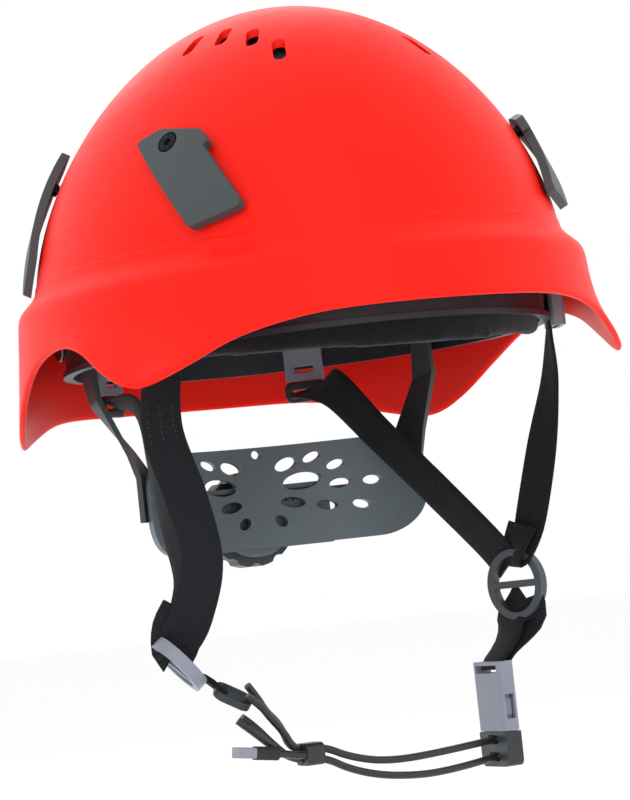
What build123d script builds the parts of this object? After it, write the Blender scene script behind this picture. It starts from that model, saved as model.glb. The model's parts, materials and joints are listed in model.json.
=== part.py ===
from build123d import *
import math
import os

# Arborist helmet: moulded shell, headband with nape cradle and ratchet, four headlamp clips,
# four-point webbing chin strap with side-release buckle and elastic cords.
# Millimetres. The front is -Y, the wearer's left is +X, up is +Z. The origin is the middle of
# the headband at the height of the brow edge, where the head sits.

# ---------------------------------------------------------------- driving dimensions
# shell
DOME_HALF_LENGTH = 128.5      # dome at its foot, front to middle
DOME_HALF_WIDTH = 99.0        # dome at its foot, side to middle
CROWN_HEIGHT = 132.0          # top of the dome above the brow edge
LEDGE_HEIGHT = 27.0           # foot of the dome above the brow edge
LEDGE_STEP = 10.5             # how far the ledge stands out in front
LEDGE_DROP = 7.0              # how far the ledge falls towards its outer edge
LEDGE_ROUND = 4.0             # rounding of the ledge corners
SKIRT_SPREAD = 3.0            # outward lean of the skirt from ledge to hem
SKIRT_BOTTOM = -42.0          # the skirt before its rim is cut
SHELL_WALL = 3.0
DOME_POWER = 1.6              # shape of the dome's side line
VENT_LENGTH = 12.0
VENT_WIDTH = 5.0

# crown liner and crown webbing
LINER_GAP = 3.6
LINER_THICKNESS = 12.0
LINER_BOTTOM = 50.0
CROWN_WEB_WIDTH = 20.0
CROWN_WEB_THICKNESS = 1.6
CROWN_WEB_BOTTOM = 13.0
CROWN_WEB_RISE = 79.0         # top of the side-to-side webbing above its ends
CROWN_WEB_STEP = 4.0          # the front-to-back webbing passes this much lower
KEY_HEIGHT = 12.0
KEY_THICKNESS = 2.4

# headband and brow pad
HEADBAND_HALF_LENGTH = 118.0
HEADBAND_HALF_WIDTH = 90.0
HEADBAND_THICKNESS = 2.4
HEADBAND_BOTTOM = -5.0
HEADBAND_TOP = 25.0
HEADBAND_LIP = 1.6            # the lip at the lower edge stands out this far
HEADBAND_LIP_HEIGHT = 2.2
WINDOW_SIZE = 6.0             # square holes in the headband
PAD_THICKNESS = 7.0
PAD_BOTTOM = -14.0
PAD_TOP = 10.0
PAD_HALF_ANGLE = 58.0

# headlamp clips
CLIP_WIDTH = 22.0
CLIP_SHOULDER = 2.5           # the upper part is this much wider on one side
CLIP_SLANT = 8.0              # both ends are cut on a slant
CLIP_THICKNESS = 3.4
CLIP_GAP = 1.8                # room under the clip for its travel
CLIP_ABOVE = 9.0              # clip above its screw
CLIP_BELOW = 42.0             # clip below its screw
CLIP_SEAT = 1.6               # clip wall under the screw head
FRONT_CLIP_LEAN = 33.0        # the lower ends lean forward
REAR_CLIP_LEAN = 29.0
FRONT_CLIP_ANGLE = 56.0       # round the dome from the front
FRONT_CLIP_HEIGHT = 69.0
REAR_CLIP_ANGLE = 118.0
REAR_CLIP_HEIGHT = 71.0
SCREW_SHANK_RADIUS = 1.6
SCREW_SHOULDER_RADIUS = 2.6
SCREW_HEAD_RADIUS = 3.8
SCREW_HEAD_HEIGHT = 1.3
SCREW_HEAD_PLAY = 0.4
SCREW_DEPTH = 2.2

# webbing, anchors, dividers
WEB_WIDTH = 16.0
WEB_THICKNESS = 1.4
ANCHOR_WIDTH = 20.0
ANCHOR_DEPTH = 6.0
ANCHOR_HEIGHT = 20.0
ANCHOR_BOTTOM = -7.0
FRONT_ANCHOR_ANGLE = 63.0     # round the headband from the front, as an ellipse parameter
REAR_ANCHOR_ANGLE = 148.0
PLATE_WIDTH = 17.0
PLATE_THICKNESS = 2.2
PLATE_TOP = 6.0
PLATE_BOTTOM = -10.0
TAB_WIDTH = 18.5
TAB_HEIGHT = 9.0
DIVIDER_HEIGHT = 28.0
DIVIDER_WIDTH = 24.0
DIVIDER_THICKNESS = 5.0
DIVIDER_RIM = 2.8
LOOP_LENGTH = 15.0
LOOP_HEIGHT = 12.0
LOOP_THICKNESS = 3.0

# buckle
BUCKLE_CENTRE = (57.5, -23.0, -156.0)
BUCKLE_WIDTH = 22.0
BUCKLE_THICKNESS = 7.0
SOCKET_TOP = 20.5             # above the buckle's centre
SOCKET_MOUTH = -7.0
PLUG_BOTTOM = -21.0
BUCKLE_WALL = 1.6
BUCKLE_SLOT = 3.0
PRONG_WIDTH = 3.2
PRONG_LENGTH = 15.0
BUCKLE_PLAY = 0.3

# elastic cords
CORD_DIAMETER = 3.0
KEEPER_CENTRE = (-29.5, -31.3, -161.5)
KEEPER_SIZE = (7.5, 12.0, 8.6)
KEEPER_GRIP = 2.5             # cord inside the keeper
KEEPER_RUN = 2.5              # straight cord in front of the keeper

# nape cradle, arms and ratchet
CRADLE_RADIUS = 76.0          # inner face, seen from above
CRADLE_AXIS_Y = -20.0         # its centre of curvature
CRADLE_THICKNESS = 3.0
CRADLE_HALF_WIDTH = 61.0
CRADLE_TOP = -39.0
CRADLE_BOTTOM = -80.5
CRADLE_CORNER = 15.0
PIVOT_Y = 44.0
PIVOT_Z = 6.0
ARM_X = 75.5                  # middle of the arm at the pivot
ARM_WIDTH = 14.0
ARM_THICKNESS = 2.2
ARM_EYE_RADIUS = 7.5
ARM_FOOT_ANGLE = 47.0         # middle of the arm's foot round the cradle
PIN_RADIUS = 2.5
PIN_HEAD_RADIUS = 4.5
RUNNING_FIT = 0.1
KNOB_Z = -68.0
KNOB_RADIUS = 20.0
KNOB_DEPTH = 10.0
KNOB_SCALLOPS = 12
HOUSING_RADIUS = 16.0
HOUSING_HALF_WIDTH = 30.0
HOUSING_WALL = 2.0
RACK_THICKNESS = 2.0
RACK_HEIGHT = 4.2
RACK_INNER_ANGLE = -12.0
RACK_OUTER_ANGLE = 30.0
PINION_RADIUS = 5.8
PINION_TEETH = 12
CLEARANCE = 0.3

WIDTH_RATIO = DOME_HALF_WIDTH / DOME_HALF_LENGTH
FAR = 400.0


# ---------------------------------------------------------------- shape of the dome
def dome_fraction(height):
    """Share of the dome's foot ellipse that is left at a height."""
    rise = (height - LEDGE_HEIGHT) / (CROWN_HEIGHT - LEDGE_HEIGHT)
    return math.sqrt(1.0 - max(rise, 0.0) ** DOME_POWER)


def dome_height(fraction, crown):
    """Height at which a share of the foot ellipse is left, for a dome with its top at crown."""
    return LEDGE_HEIGHT + (crown - LEDGE_HEIGHT) * (1.0 - fraction**2) ** (1.0 / DOME_POWER)


def dome_point(angle, height):
    """Point of the outer dome, the angle counted from the front towards +X."""
    share = dome_fraction(height)
    turn = math.radians(angle)
    x = DOME_HALF_WIDTH * share * math.sin(turn)
    y = -DOME_HALF_LENGTH * share * math.cos(turn)
    return Vector(x, y, height)


def dome_level(point):
    """Negative inside the dome, positive outside."""
    share = dome_fraction(point.Z)
    return (point.X / DOME_HALF_WIDTH) ** 2 + (point.Y / DOME_HALF_LENGTH) ** 2 - share**2


def dome_plane(angle, height, lean):
    """Plane on the dome: origin on it, Z outwards, X down it, turned by lean about Z."""
    here = dome_point(angle, height)
    down = (dome_point(angle, height - 0.5) - here).normalized()
    side = (dome_point(angle + 0.5, height) - here).normalized()
    normal = down.cross(side).normalized()
    if normal.dot(Vector(here.X, here.Y, 0)) < 0:
        normal = -normal
    return Plane(origin=here, x_dir=down.rotate(Axis((0, 0, 0), normal), lean), z_dir=normal)


def dome_sink(plane, distance):
    """Depth of the dome below its tangent plane, at a distance along the plane's X."""
    start = plane.origin + plane.x_dir * distance
    low = 0.0
    high = 30.0
    for _ in range(40):
        middle = (low + high) / 2
        if dome_level(start - plane.z_dir * middle) > 0:
            low = middle
        else:
            high = middle
    return low


def shell_outline(inset):
    """Side line of the shell from the crown to the hem, set in by a wall."""
    crown = CROWN_HEIGHT - inset
    foot = DOME_HALF_LENGTH - inset
    corner = math.hypot(LEDGE_STEP, LEDGE_DROP) - LEDGE_DROP
    shift = inset * corner / LEDGE_STEP
    ledge_z = LEDGE_HEIGHT - shift
    points = [(0.0, crown)]
    for share in (0.3, 0.55, 0.75, 0.9, 0.97):
        points.append((foot * share, dome_height(share, crown)))
    points.append((foot, LEDGE_HEIGHT + LEDGE_ROUND * 1.5))
    Spline(*points, tangents=[(1, 0), (0, -1)])
    FilletPolyline(
        points[-1],
        (foot, ledge_z),
        (foot + LEDGE_STEP, ledge_z - LEDGE_DROP),
        (foot + LEDGE_STEP + SKIRT_SPREAD, SKIRT_BOTTOM),
        radius=LEDGE_ROUND,
    )
    return points[0], (foot + LEDGE_STEP + SKIRT_SPREAD, SKIRT_BOTTOM)


def headband_point(angle, outward, height):
    """Point beside the headband's outer face, the angle counted from the front towards +X."""
    turn = math.radians(angle)
    x = HEADBAND_HALF_WIDTH * math.sin(turn)
    y = -HEADBAND_HALF_LENGTH * math.cos(turn)
    normal = Vector(x / HEADBAND_HALF_WIDTH**2, y / HEADBAND_HALF_LENGTH**2, 0).normalized()
    return Vector(x, y, height) + normal * outward, normal


def headband_plane(angle, outward, height):
    """Upright plane beside the headband: X along the band, Y up, Z outwards."""
    here, normal = headband_point(angle, outward, height)
    return Plane(origin=here, x_dir=Vector(0, 0, 1).cross(normal), z_dir=normal)


# ---------------------------------------------------------------- shell
# Side line of the rim, front to rear: brow, temple lobe, ear notch, rear lobe, nape.
RIM_LINE = [
    (-160, 0), (-128, -0.5), (-104, -6), (-84, -15), (-68, -19), (-52, -12), (-38, -3),
    (-22, 1.5), (-4, 1), (16, -4), (38, -14), (58, -25), (75, -31), (95, -27), (118, -19),
    (140, -17), (160, -17),
]
VENT_PLACES = [(-44.9, -27.3), (-37.5, -40.0), (-32.0, -54.5), (-29.0, -70.5)]
CLIPS = {
    "front_left": (FRONT_CLIP_ANGLE, FRONT_CLIP_HEIGHT, -FRONT_CLIP_LEAN, -1),
    "front_right": (-FRONT_CLIP_ANGLE, FRONT_CLIP_HEIGHT, FRONT_CLIP_LEAN, 1),
    "rear_left": (REAR_CLIP_ANGLE, REAR_CLIP_HEIGHT, -REAR_CLIP_LEAN, 1),
    "rear_right": (-REAR_CLIP_ANGLE, REAR_CLIP_HEIGHT, REAR_CLIP_LEAN, -1),
}
clip_planes = {}
for place, (angle, height, lean, hand) in CLIPS.items():
    clip_planes[place] = dome_plane(angle, height, lean)


def before_narrowing(vector):
    """Where a point or direction lies before the round shell is narrowed to its oval."""
    return Vector(vector.X / WIDTH_RATIO, vector.Y, vector.Z)


# The shell is turned round first, its rim, vents and holes are cut, and then it is narrowed.
with BuildPart() as shell:
    with BuildSketch(Plane.XZ):
        with BuildLine():
            top_out, hem_out = shell_outline(0.0)
            top_in, hem_in = shell_outline(SHELL_WALL)
            Line(top_out, top_in)
            Line(hem_out, hem_in)
        make_face()
    revolve(axis=Axis.Z)
    with BuildSketch(Plane.YZ):
        with BuildLine():
            Spline(*RIM_LINE)
            Polyline(RIM_LINE[-1], (160, -90), (-160, -90), RIM_LINE[0])
        make_face()
    extrude(amount=FAR / 2, both=True, mode=Mode.SUBTRACT)
    for x, y in VENT_PLACES:
        for side in (1, -1):
            turn = math.degrees(math.atan2(y, side * x))
            spot = before_narrowing(Vector(side * x, y, LINER_BOTTOM * 2 - 10))
            with BuildSketch(Plane(origin=spot)):
                SlotOverall(VENT_LENGTH, VENT_WIDTH, rotation=turn)
            extrude(amount=LINER_BOTTOM, mode=Mode.SUBTRACT)
    for plane in clip_planes.values():
        spot = before_narrowing(plane.origin - plane.z_dir * SHELL_WALL * 2)
        with BuildSketch(Plane(origin=spot, z_dir=before_narrowing(plane.z_dir))):
            Circle((SCREW_SHANK_RADIUS + RUNNING_FIT) / WIDTH_RATIO)
        extrude(amount=SHELL_WALL * 4, mode=Mode.SUBTRACT)
    scale(by=(WIDTH_RATIO, 1, 1))

# ---------------------------------------------------------------- crown liner
with BuildPart() as crown_liner:
    with BuildSketch(Plane.XZ):
        ends = []
        with BuildLine():
            for inset in (SHELL_WALL + LINER_GAP, SHELL_WALL + LINER_GAP + LINER_THICKNESS):
                crown = CROWN_HEIGHT - inset
                foot = DOME_HALF_LENGTH - inset
                rise = (LINER_BOTTOM - LEDGE_HEIGHT) / (crown - LEDGE_HEIGHT)
                edge = math.sqrt(1.0 - rise**DOME_POWER)
                points = [(0.0, crown)]
                for share in (0.3, 0.55, 0.75, (0.75 + edge) / 2):
                    points.append((foot * share, dome_height(share, crown)))
                points.append((foot * edge, LINER_BOTTOM))
                Spline(*points, tangents=[(1, 0), (0.4, -1)])
                ends.append(points)
            Line(ends[0][0], ends[1][0])
            Line(ends[0][-1], ends[1][-1])
        make_face()
    revolve(axis=Axis.Z)
    scale(by=(WIDTH_RATIO, 1, 1))

# ---------------------------------------------------------------- headband
BAND_IN_X = HEADBAND_HALF_WIDTH - HEADBAND_THICKNESS
BAND_IN_Y = HEADBAND_HALF_LENGTH - HEADBAND_THICKNESS
with BuildPart() as headband:
    with BuildSketch(Plane.XY.offset(HEADBAND_BOTTOM)):
        Ellipse(HEADBAND_HALF_WIDTH, HEADBAND_HALF_LENGTH)
        Ellipse(BAND_IN_X, BAND_IN_Y, mode=Mode.SUBTRACT)
    extrude(amount=HEADBAND_TOP - HEADBAND_BOTTOM)
    with BuildSketch(Plane.XY.offset(HEADBAND_BOTTOM)):
        Ellipse(HEADBAND_HALF_WIDTH + HEADBAND_LIP, HEADBAND_HALF_LENGTH + HEADBAND_LIP)
        Ellipse(BAND_IN_X, BAND_IN_Y, mode=Mode.SUBTRACT)
    extrude(amount=HEADBAND_LIP_HEIGHT)
    for angle in (74, 84, 94, 112, 124, 165):
        for side in (1, -1):
            plane = headband_plane(side * angle, 0, HEADBAND_TOP - WINDOW_SIZE * 3)
            with BuildSketch(plane.offset(-HEADBAND_THICKNESS * 2)):
                Rectangle(WINDOW_SIZE, WINDOW_SIZE)
            extrude(amount=HEADBAND_THICKNESS * 3, mode=Mode.SUBTRACT)
    with BuildSketch(Plane.YZ):
        with Locations((PIVOT_Y, PIVOT_Z)):
            Circle(PIN_RADIUS + RUNNING_FIT)
    extrude(amount=FAR, both=True, mode=Mode.SUBTRACT)

# ---------------------------------------------------------------- brow pad
with BuildPart() as brow_pad:
    with BuildSketch(Plane.XY.offset(PAD_BOTTOM)):
        Ellipse(BAND_IN_X - CLEARANCE * 2, BAND_IN_Y - CLEARANCE * 2)
        Ellipse(BAND_IN_X - PAD_THICKNESS, BAND_IN_Y - PAD_THICKNESS, mode=Mode.SUBTRACT)
        edge_x = FAR * math.sin(math.radians(PAD_HALF_ANGLE))
        edge_y = -FAR * math.cos(math.radians(PAD_HALF_ANGLE))
        with BuildLine():
            Polyline((0, 0), (edge_x, edge_y), (0, -FAR * 2), (-edge_x, edge_y), close=True)
        make_face(mode=Mode.INTERSECT)
    extrude(amount=PAD_TOP - PAD_BOTTOM)


# ---------------------------------------------------------------- crown webbing and its keys
def crown_web(plane, half_span, rise):
    """Half ring of webbing that stands on its two ends, in an upright plane."""
    with BuildPart() as web:
        with BuildSketch(plane):
            with Locations((0, CROWN_WEB_BOTTOM)):
                Ellipse(half_span, rise)
                Ellipse(
                    half_span - CROWN_WEB_THICKNESS,
                    rise - CROWN_WEB_THICKNESS,
                    mode=Mode.SUBTRACT,
                )
                Rectangle(FAR, FAR, align=(Align.CENTER, Align.MAX), mode=Mode.SUBTRACT)
        extrude(amount=CROWN_WEB_WIDTH / 2, both=True)
    return web


KEY_INSET = CLEARANCE * 3     # the flat keys stand clear of the curved band
WEB_HALF_X = BAND_IN_X - KEY_THICKNESS - KEY_INSET * 1.5
WEB_HALF_Y = BAND_IN_Y - KEY_THICKNESS - KEY_INSET * 1.5
crown_strap_side = crown_web(Plane.XZ, WEB_HALF_X, CROWN_WEB_RISE)
crown_strap_long = crown_web(Plane.YZ, WEB_HALF_Y, CROWN_WEB_RISE - CROWN_WEB_STEP)

with BuildPart() as suspension_keys:
    for angle in (0, 90, 180, 270):
        plane = headband_plane(angle, -HEADBAND_THICKNESS - KEY_THICKNESS - KEY_INSET, 0)
        with BuildSketch(plane):
            with Locations((0, CROWN_WEB_BOTTOM)):
                Rectangle(CROWN_WEB_WIDTH, KEY_HEIGHT, align=(Align.CENTER, Align.MIN))
                with Locations((0, KEY_HEIGHT / 2)):
                    Circle(KEY_THICKNESS, mode=Mode.SUBTRACT)
        extrude(amount=KEY_THICKNESS - CLEARANCE)


# ---------------------------------------------------------------- headlamp clips
def lamp_clip(plane, hand):
    """Curved slanting strip over the dome, hung on a shoulder screw at its upper end."""
    side_plane = Plane(
        origin=plane.origin, x_dir=plane.x_dir, z_dir=plane.x_dir.cross(plane.z_dir)
    )
    top = -CLIP_ABOVE - CLIP_SLANT / 2
    bottom = CLIP_BELOW + CLIP_SLANT / 2
    edge = hand * CLIP_WIDTH / 2
    shoulder = hand * (CLIP_WIDTH / 2 + CLIP_SHOULDER)
    with BuildPart() as clip:
        with BuildSketch(side_plane):
            with BuildLine():
                for lift in (CLIP_GAP, CLIP_GAP + CLIP_THICKNESS):
                    ThreePointArc(
                        (top, lift - dome_sink(plane, top)),
                        (bottom / 2, lift - dome_sink(plane, bottom / 2)),
                        (bottom, lift - dome_sink(plane, bottom)),
                    )
                for end in (top, bottom):
                    foot = CLIP_GAP - dome_sink(plane, end)
                    Line((end, foot), (end, foot + CLIP_THICKNESS))
            make_face()
        extrude(amount=CLIP_WIDTH / 2 + CLIP_SHOULDER * 2, both=True)
        with BuildSketch(plane.offset(-FAR / 8)):
            with BuildLine():
                FilletPolyline(
                    (top, -edge),
                    (-CLIP_ABOVE, 0),
                    (CLIP_ABOVE * 0.8, shoulder),
                    (CLIP_ABOVE * 1.6, shoulder),
                    (CLIP_ABOVE * 1.6, edge),
                    (bottom, edge),
                    (bottom - CLIP_SLANT, -edge),
                    radius=(2, 6, 3, 0.5, 0.5, 2.5, 2.5),
                    close=True,
                )
            make_face()
        extrude(amount=FAR / 4, mode=Mode.INTERSECT)
        with BuildSketch(plane):
            Circle(SCREW_SHOULDER_RADIUS + CLEARANCE)
        extrude(amount=CLIP_GAP + CLIP_THICKNESS * 2, mode=Mode.SUBTRACT)
        with BuildSketch(plane.offset(CLIP_GAP + CLIP_SEAT)):
            Circle(SCREW_HEAD_RADIUS + CLEARANCE * 2)
        extrude(amount=CLIP_THICKNESS * 2, mode=Mode.SUBTRACT)
    return clip


def clip_screw(plane):
    """Shoulder screw that holds a clip and lets its lower end lift."""
    head_foot = CLIP_GAP + CLIP_SEAT + SCREW_HEAD_PLAY
    with BuildPart() as screw:
        with BuildSketch(plane.offset(-SCREW_DEPTH)):
            Circle(SCREW_SHANK_RADIUS)
        extrude(amount=SCREW_DEPTH + head_foot)
        with BuildSketch(plane.offset(CLEARANCE * 2)):
            Circle(SCREW_SHOULDER_RADIUS)
        extrude(amount=head_foot - CLEARANCE * 2)
        with BuildSketch(plane.offset(head_foot)):
            Circle(SCREW_HEAD_RADIUS)
        extrude(amount=SCREW_HEAD_HEIGHT)
        with BuildSketch(plane.offset(head_foot + SCREW_HEAD_HEIGHT / 3)):
            RegularPolygon(SCREW_SHANK_RADIUS, 6)
        extrude(amount=SCREW_HEAD_HEIGHT, mode=Mode.SUBTRACT)
    return screw


lamp_clips = {}
clip_screws = {}
for place, plane in clip_planes.items():
    lamp_clips[place] = lamp_clip(plane, CLIPS[place][-1])
    clip_screws[place] = clip_screw(plane)


# ---------------------------------------------------------------- strap anchors
def front_anchor(side):
    """Block outside the headband with a pocket below for the end of the webbing."""
    plane = headband_plane(side * FRONT_ANCHOR_ANGLE, HEADBAND_LIP + CLEARANCE, ANCHOR_BOTTOM)
    with BuildPart() as anchor:
        with BuildSketch(plane):
            Rectangle(ANCHOR_WIDTH, ANCHOR_HEIGHT, align=(Align.CENTER, Align.MIN))
        extrude(amount=ANCHOR_DEPTH)
        chamfer(anchor.edges().filter_by(Axis.Z), 1.2)
        with BuildSketch(plane.offset((ANCHOR_DEPTH - WEB_THICKNESS) / 2 - CLEARANCE)):
            Rectangle(
                WEB_WIDTH + CLEARANCE * 4,
                ANCHOR_HEIGHT / 2,
                align=(Align.CENTER, Align.MIN),
            )
        extrude(amount=WEB_THICKNESS + CLEARANCE * 2, mode=Mode.SUBTRACT)
        with BuildSketch(plane):
            with Locations((0, ANCHOR_HEIGHT * 0.72)):
                Rectangle(ANCHOR_WIDTH / 2, ANCHOR_DEPTH / 2)
        extrude(amount=ANCHOR_DEPTH, mode=Mode.SUBTRACT)
    return anchor


def rear_anchor(side):
    """Slotted plate inside the headband."""
    inward = -HEADBAND_THICKNESS - CLEARANCE * 2 - PLATE_THICKNESS
    with BuildPart() as anchor:
        with BuildSketch(headband_plane(side * REAR_ANCHOR_ANGLE, inward, PLATE_BOTTOM)):
            Rectangle(PLATE_WIDTH, PLATE_TOP - PLATE_BOTTOM, align=(Align.CENTER, Align.MIN))
            with Locations((0, (PLATE_TOP - PLATE_BOTTOM) * 0.3)):
                Rectangle(PLATE_WIDTH * 0.5, 2.6, mode=Mode.SUBTRACT)
        extrude(amount=PLATE_THICKNESS)
    return anchor


def rear_tab(side):
    """Slotted tab below the rear plate that the webbing is sewn round."""
    inward = -HEADBAND_THICKNESS - CLEARANCE * 2 - PLATE_THICKNESS
    plane = headband_plane(side * REAR_ANCHOR_ANGLE, inward, PLATE_BOTTOM - CLEARANCE)
    with BuildPart() as tab:
        with BuildSketch(plane):
            with Locations((0, -TAB_HEIGHT / 2)):
                RectangleRounded(TAB_WIDTH, TAB_HEIGHT, 3)
                Rectangle(TAB_WIDTH * 0.66, 1.8, mode=Mode.SUBTRACT)
        extrude(amount=PLATE_THICKNESS + CLEARANCE)
    return tab


# ---------------------------------------------------------------- webbing
def web_sections(route, width, thickness):
    """Cross-sections of a band: each stop is a point and the direction across the band."""
    points = [Vector(*point) for point, across in route]
    sections = []
    for index, (point, across) in enumerate(route):
        before = points[max(index - 1, 0)]
        after = points[min(index + 1, len(points) - 1)]
        along = (after - before).normalized()
        wide = Vector(*across)
        wide = (wide - along * wide.dot(along)).normalized()
        with BuildSketch(Plane(origin=points[index], x_dir=wide, z_dir=along)) as section:
            Rectangle(width, thickness)
        sections.append(section.sketch)
    return sections


def band(route, width, thickness):
    """Flat band through its stops."""
    with BuildPart() as strip:
        loft(web_sections(route, width, thickness))
    return strip


def front_start(side):
    """Where the front webbing leaves its anchor's pocket, and the direction across it."""
    outward = HEADBAND_LIP + CLEARANCE + ANCHOR_DEPTH / 2
    return headband_plane(side * FRONT_ANCHOR_ANGLE, outward, ANCHOR_BOTTOM)


left_start = front_start(1)
right_start = front_start(-1)
POCKET_GRIP = 7.0             # webbing inside the anchor's pocket

# Each stop is the middle of the webbing and the direction across it.
FRONT_LEFT_ROUTE = [
    (tuple(left_start.origin + Vector(0, 0, POCKET_GRIP)), tuple(left_start.x_dir)),
    (tuple(left_start.origin), tuple(left_start.x_dir)),
    ((83.5, -48.5, -27.0), (-0.3, -0.95, 0)),
    ((80.0, -41.5, -54.0), (0.3, -0.95, 0)),
    ((74.5, -37.0, -80.0), (0.35, -0.93, 0)),
    ((71.3, -35.9, -90.2), (0.35, -0.93, 0)),
]
FRONT_RIGHT_ROUTE = [
    (tuple(right_start.origin + Vector(0, 0, POCKET_GRIP)), tuple(right_start.x_dir)),
    (tuple(right_start.origin), tuple(right_start.x_dir)),
    ((-84.5, -51.5, -34.0), (0.75, -0.65, 0)),
    ((-78.0, -52.4, -61.0), (0.85, -0.5, 0)),
    ((-72.5, -47.5, -84.0), (0.75, -0.6, 0)),
    ((-73.5, -34.5, -104.0), (0.7, -0.65, 0.2)),
    ((-76.5, -27.5, -112.0), (0.7, -0.65, 0.2)),
]
REAR_LEFT_ROUTE = [
    ((42.5, 88.0, -16.0), (0.77, -0.6, 0.2)),
    ((38.5, 57.5, -16.5), (0.4, -0.5, 0.75)),
    ((45.0, 30.0, -39.5), (0.15, -0.6, 0.78)),
    ((55.0, 0.0, -67.5), (0.1, -0.6, 0.78)),
    ((62.5, -21.5, -88.5), (0.1, -0.7, 0.7)),
]
REAR_RIGHT_ROUTE = [
    ((-42.5, 88.0, -16.0), (-0.77, -0.6, 0.2)),
    ((-53.0, 48.0, -22.5), (-0.2, -0.3, 0.9)),
    ((-66.0, 8.0, -37.0), (0.0, -0.5, 0.85)),
    ((-73.0, -20.0, -64.0), (0.1, -0.8, 0.55)),
    ((-70.5, -25.0, -90.0), (0.2, -0.95, 0.1)),
    ((-71.5, -21.5, -107.0), (0.5, -0.8, 0.1)),
]
LOWER_LEFT_ROUTE = [
    ((65.5, -29.5, -122.4), (0.15, -0.98, 0)),
    ((63.0, -27.5, -126.5), (0.1, -0.99, 0)),
    ((60.0, -24.8, -129.6), (0.0, -1, 0)),
    ((58.1, -23.3, -131.9), (0.0, -1, 0)),
]
LOWER_RIGHT_ROUTE = [
    ((-65.6, -25.4, -130.2), (0.2, 0.98, 0.0)),
    ((-64.4, -25.8, -131.1), (0.2, 0.98, 0.0)),
    ((-63.8, -26.0, -131.5), (0.2, 0.98, 0.0)),
]
straps = {
    "strap_front_left": band(FRONT_LEFT_ROUTE, WEB_WIDTH, WEB_THICKNESS),
    "strap_front_right": band(FRONT_RIGHT_ROUTE, WEB_WIDTH, WEB_THICKNESS),
    "strap_rear_left": band(REAR_LEFT_ROUTE, WEB_WIDTH, WEB_THICKNESS),
    "strap_rear_right": band(REAR_RIGHT_ROUTE, WEB_WIDTH, WEB_THICKNESS),
    "strap_lower_left": band(LOWER_LEFT_ROUTE, WEB_WIDTH, WEB_THICKNESS * 2),
    "strap_lower_right": band(LOWER_RIGHT_ROUTE, LOOP_HEIGHT - 4, WEB_THICKNESS * 2),
}


# ---------------------------------------------------------------- dividers and loop plate
def divider(centre, across, upright):
    """Oval ring with a bar across its middle that the webbing runs round."""
    plane = Plane(origin=centre, x_dir=across, z_dir=Vector(*across).cross(Vector(*upright)))
    with BuildPart() as ring:
        with BuildSketch(plane.offset(-DIVIDER_THICKNESS / 2)):
            Ellipse(DIVIDER_WIDTH / 2, DIVIDER_HEIGHT / 2)
            Ellipse(
                DIVIDER_WIDTH / 2 - DIVIDER_RIM, DIVIDER_HEIGHT / 2 - DIVIDER_RIM,
                mode=Mode.SUBTRACT,
            )
            Rectangle(DIVIDER_WIDTH - DIVIDER_RIM, DIVIDER_RIM)
        extrude(amount=DIVIDER_THICKNESS)
    return ring


LEFT_DIVIDER_CENTRE = (67.0, -33.0, -106.0)
RIGHT_DIVIDER_CENTRE = (-75.8, -22.6, -121.8)
divider_left = divider(LEFT_DIVIDER_CENTRE, (0.55, -0.83, 0), (0, 0, 1))
divider_right = divider(RIGHT_DIVIDER_CENTRE, (0.45, -0.6, -0.66), (0.5, 0.78, -0.37))

LOOP_PLANE = Plane(origin=(-57.6, -27.7, -136.3), x_dir=(0.75, -0.2, -0.45), z_dir=(0.35, -0.5, 0.8))
with BuildPart() as loop_plate:
    with BuildSketch(LOOP_PLANE.offset(-LOOP_THICKNESS / 2)):
        RectangleRounded(LOOP_LENGTH, LOOP_HEIGHT, LOOP_HEIGHT * 0.35)
        RectangleRounded(LOOP_LENGTH - 5, LOOP_HEIGHT - 5, 1.5, mode=Mode.SUBTRACT)
    extrude(amount=LOOP_THICKNESS)

# ---------------------------------------------------------------- buckle
# The buckle's own frame: X is its width, towards the rear, Y is up, Z is out through its faces.
BUCKLE = Plane(origin=BUCKLE_CENTRE, x_dir=(0, 1, 0), z_dir=(1, 0, 0))
SOCKET_LENGTH = SOCKET_TOP - SOCKET_MOUTH
THROAT_HALF = BUCKLE_WIDTH / 2 - BUCKLE_WALL
CAVITY_HEIGHT = SOCKET_LENGTH * 0.7
with BuildPart() as buckle_socket:
    with BuildSketch(BUCKLE.offset(-BUCKLE_THICKNESS / 2)):
        with Locations((0, SOCKET_MOUTH)):
            Rectangle(BUCKLE_WIDTH, SOCKET_LENGTH, align=(Align.CENTER, Align.MIN))
    extrude(amount=BUCKLE_THICKNESS)
    fillet(buckle_socket.edges().filter_by(Axis.Z), 1.5)
    with BuildSketch(BUCKLE.offset(-BUCKLE_THICKNESS / 2 + BUCKLE_WALL)):
        with Locations((0, SOCKET_MOUTH)):
            Rectangle(THROAT_HALF * 2, CAVITY_HEIGHT, align=(Align.CENTER, Align.MIN))
    extrude(amount=BUCKLE_THICKNESS - BUCKLE_WALL * 2, mode=Mode.SUBTRACT)
    with BuildSketch(BUCKLE.offset(-BUCKLE_THICKNESS)):
        with Locations((0, SOCKET_TOP - BUCKLE_SLOT)):
            Rectangle(WEB_WIDTH + CLEARANCE * 4, BUCKLE_SLOT)
    extrude(amount=BUCKLE_THICKNESS * 2, mode=Mode.SUBTRACT)
    with BuildSketch(Plane.XZ.offset(-BUCKLE_CENTRE[1])):
        with Locations((BUCKLE_CENTRE[0], BUCKLE_CENTRE[2] + SOCKET_MOUTH + CAVITY_HEIGHT / 2)):
            Rectangle(BUCKLE_THICKNESS - BUCKLE_WALL * 2, CAVITY_HEIGHT / 2)
    extrude(amount=BUCKLE_WIDTH, both=True, mode=Mode.SUBTRACT)

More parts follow.
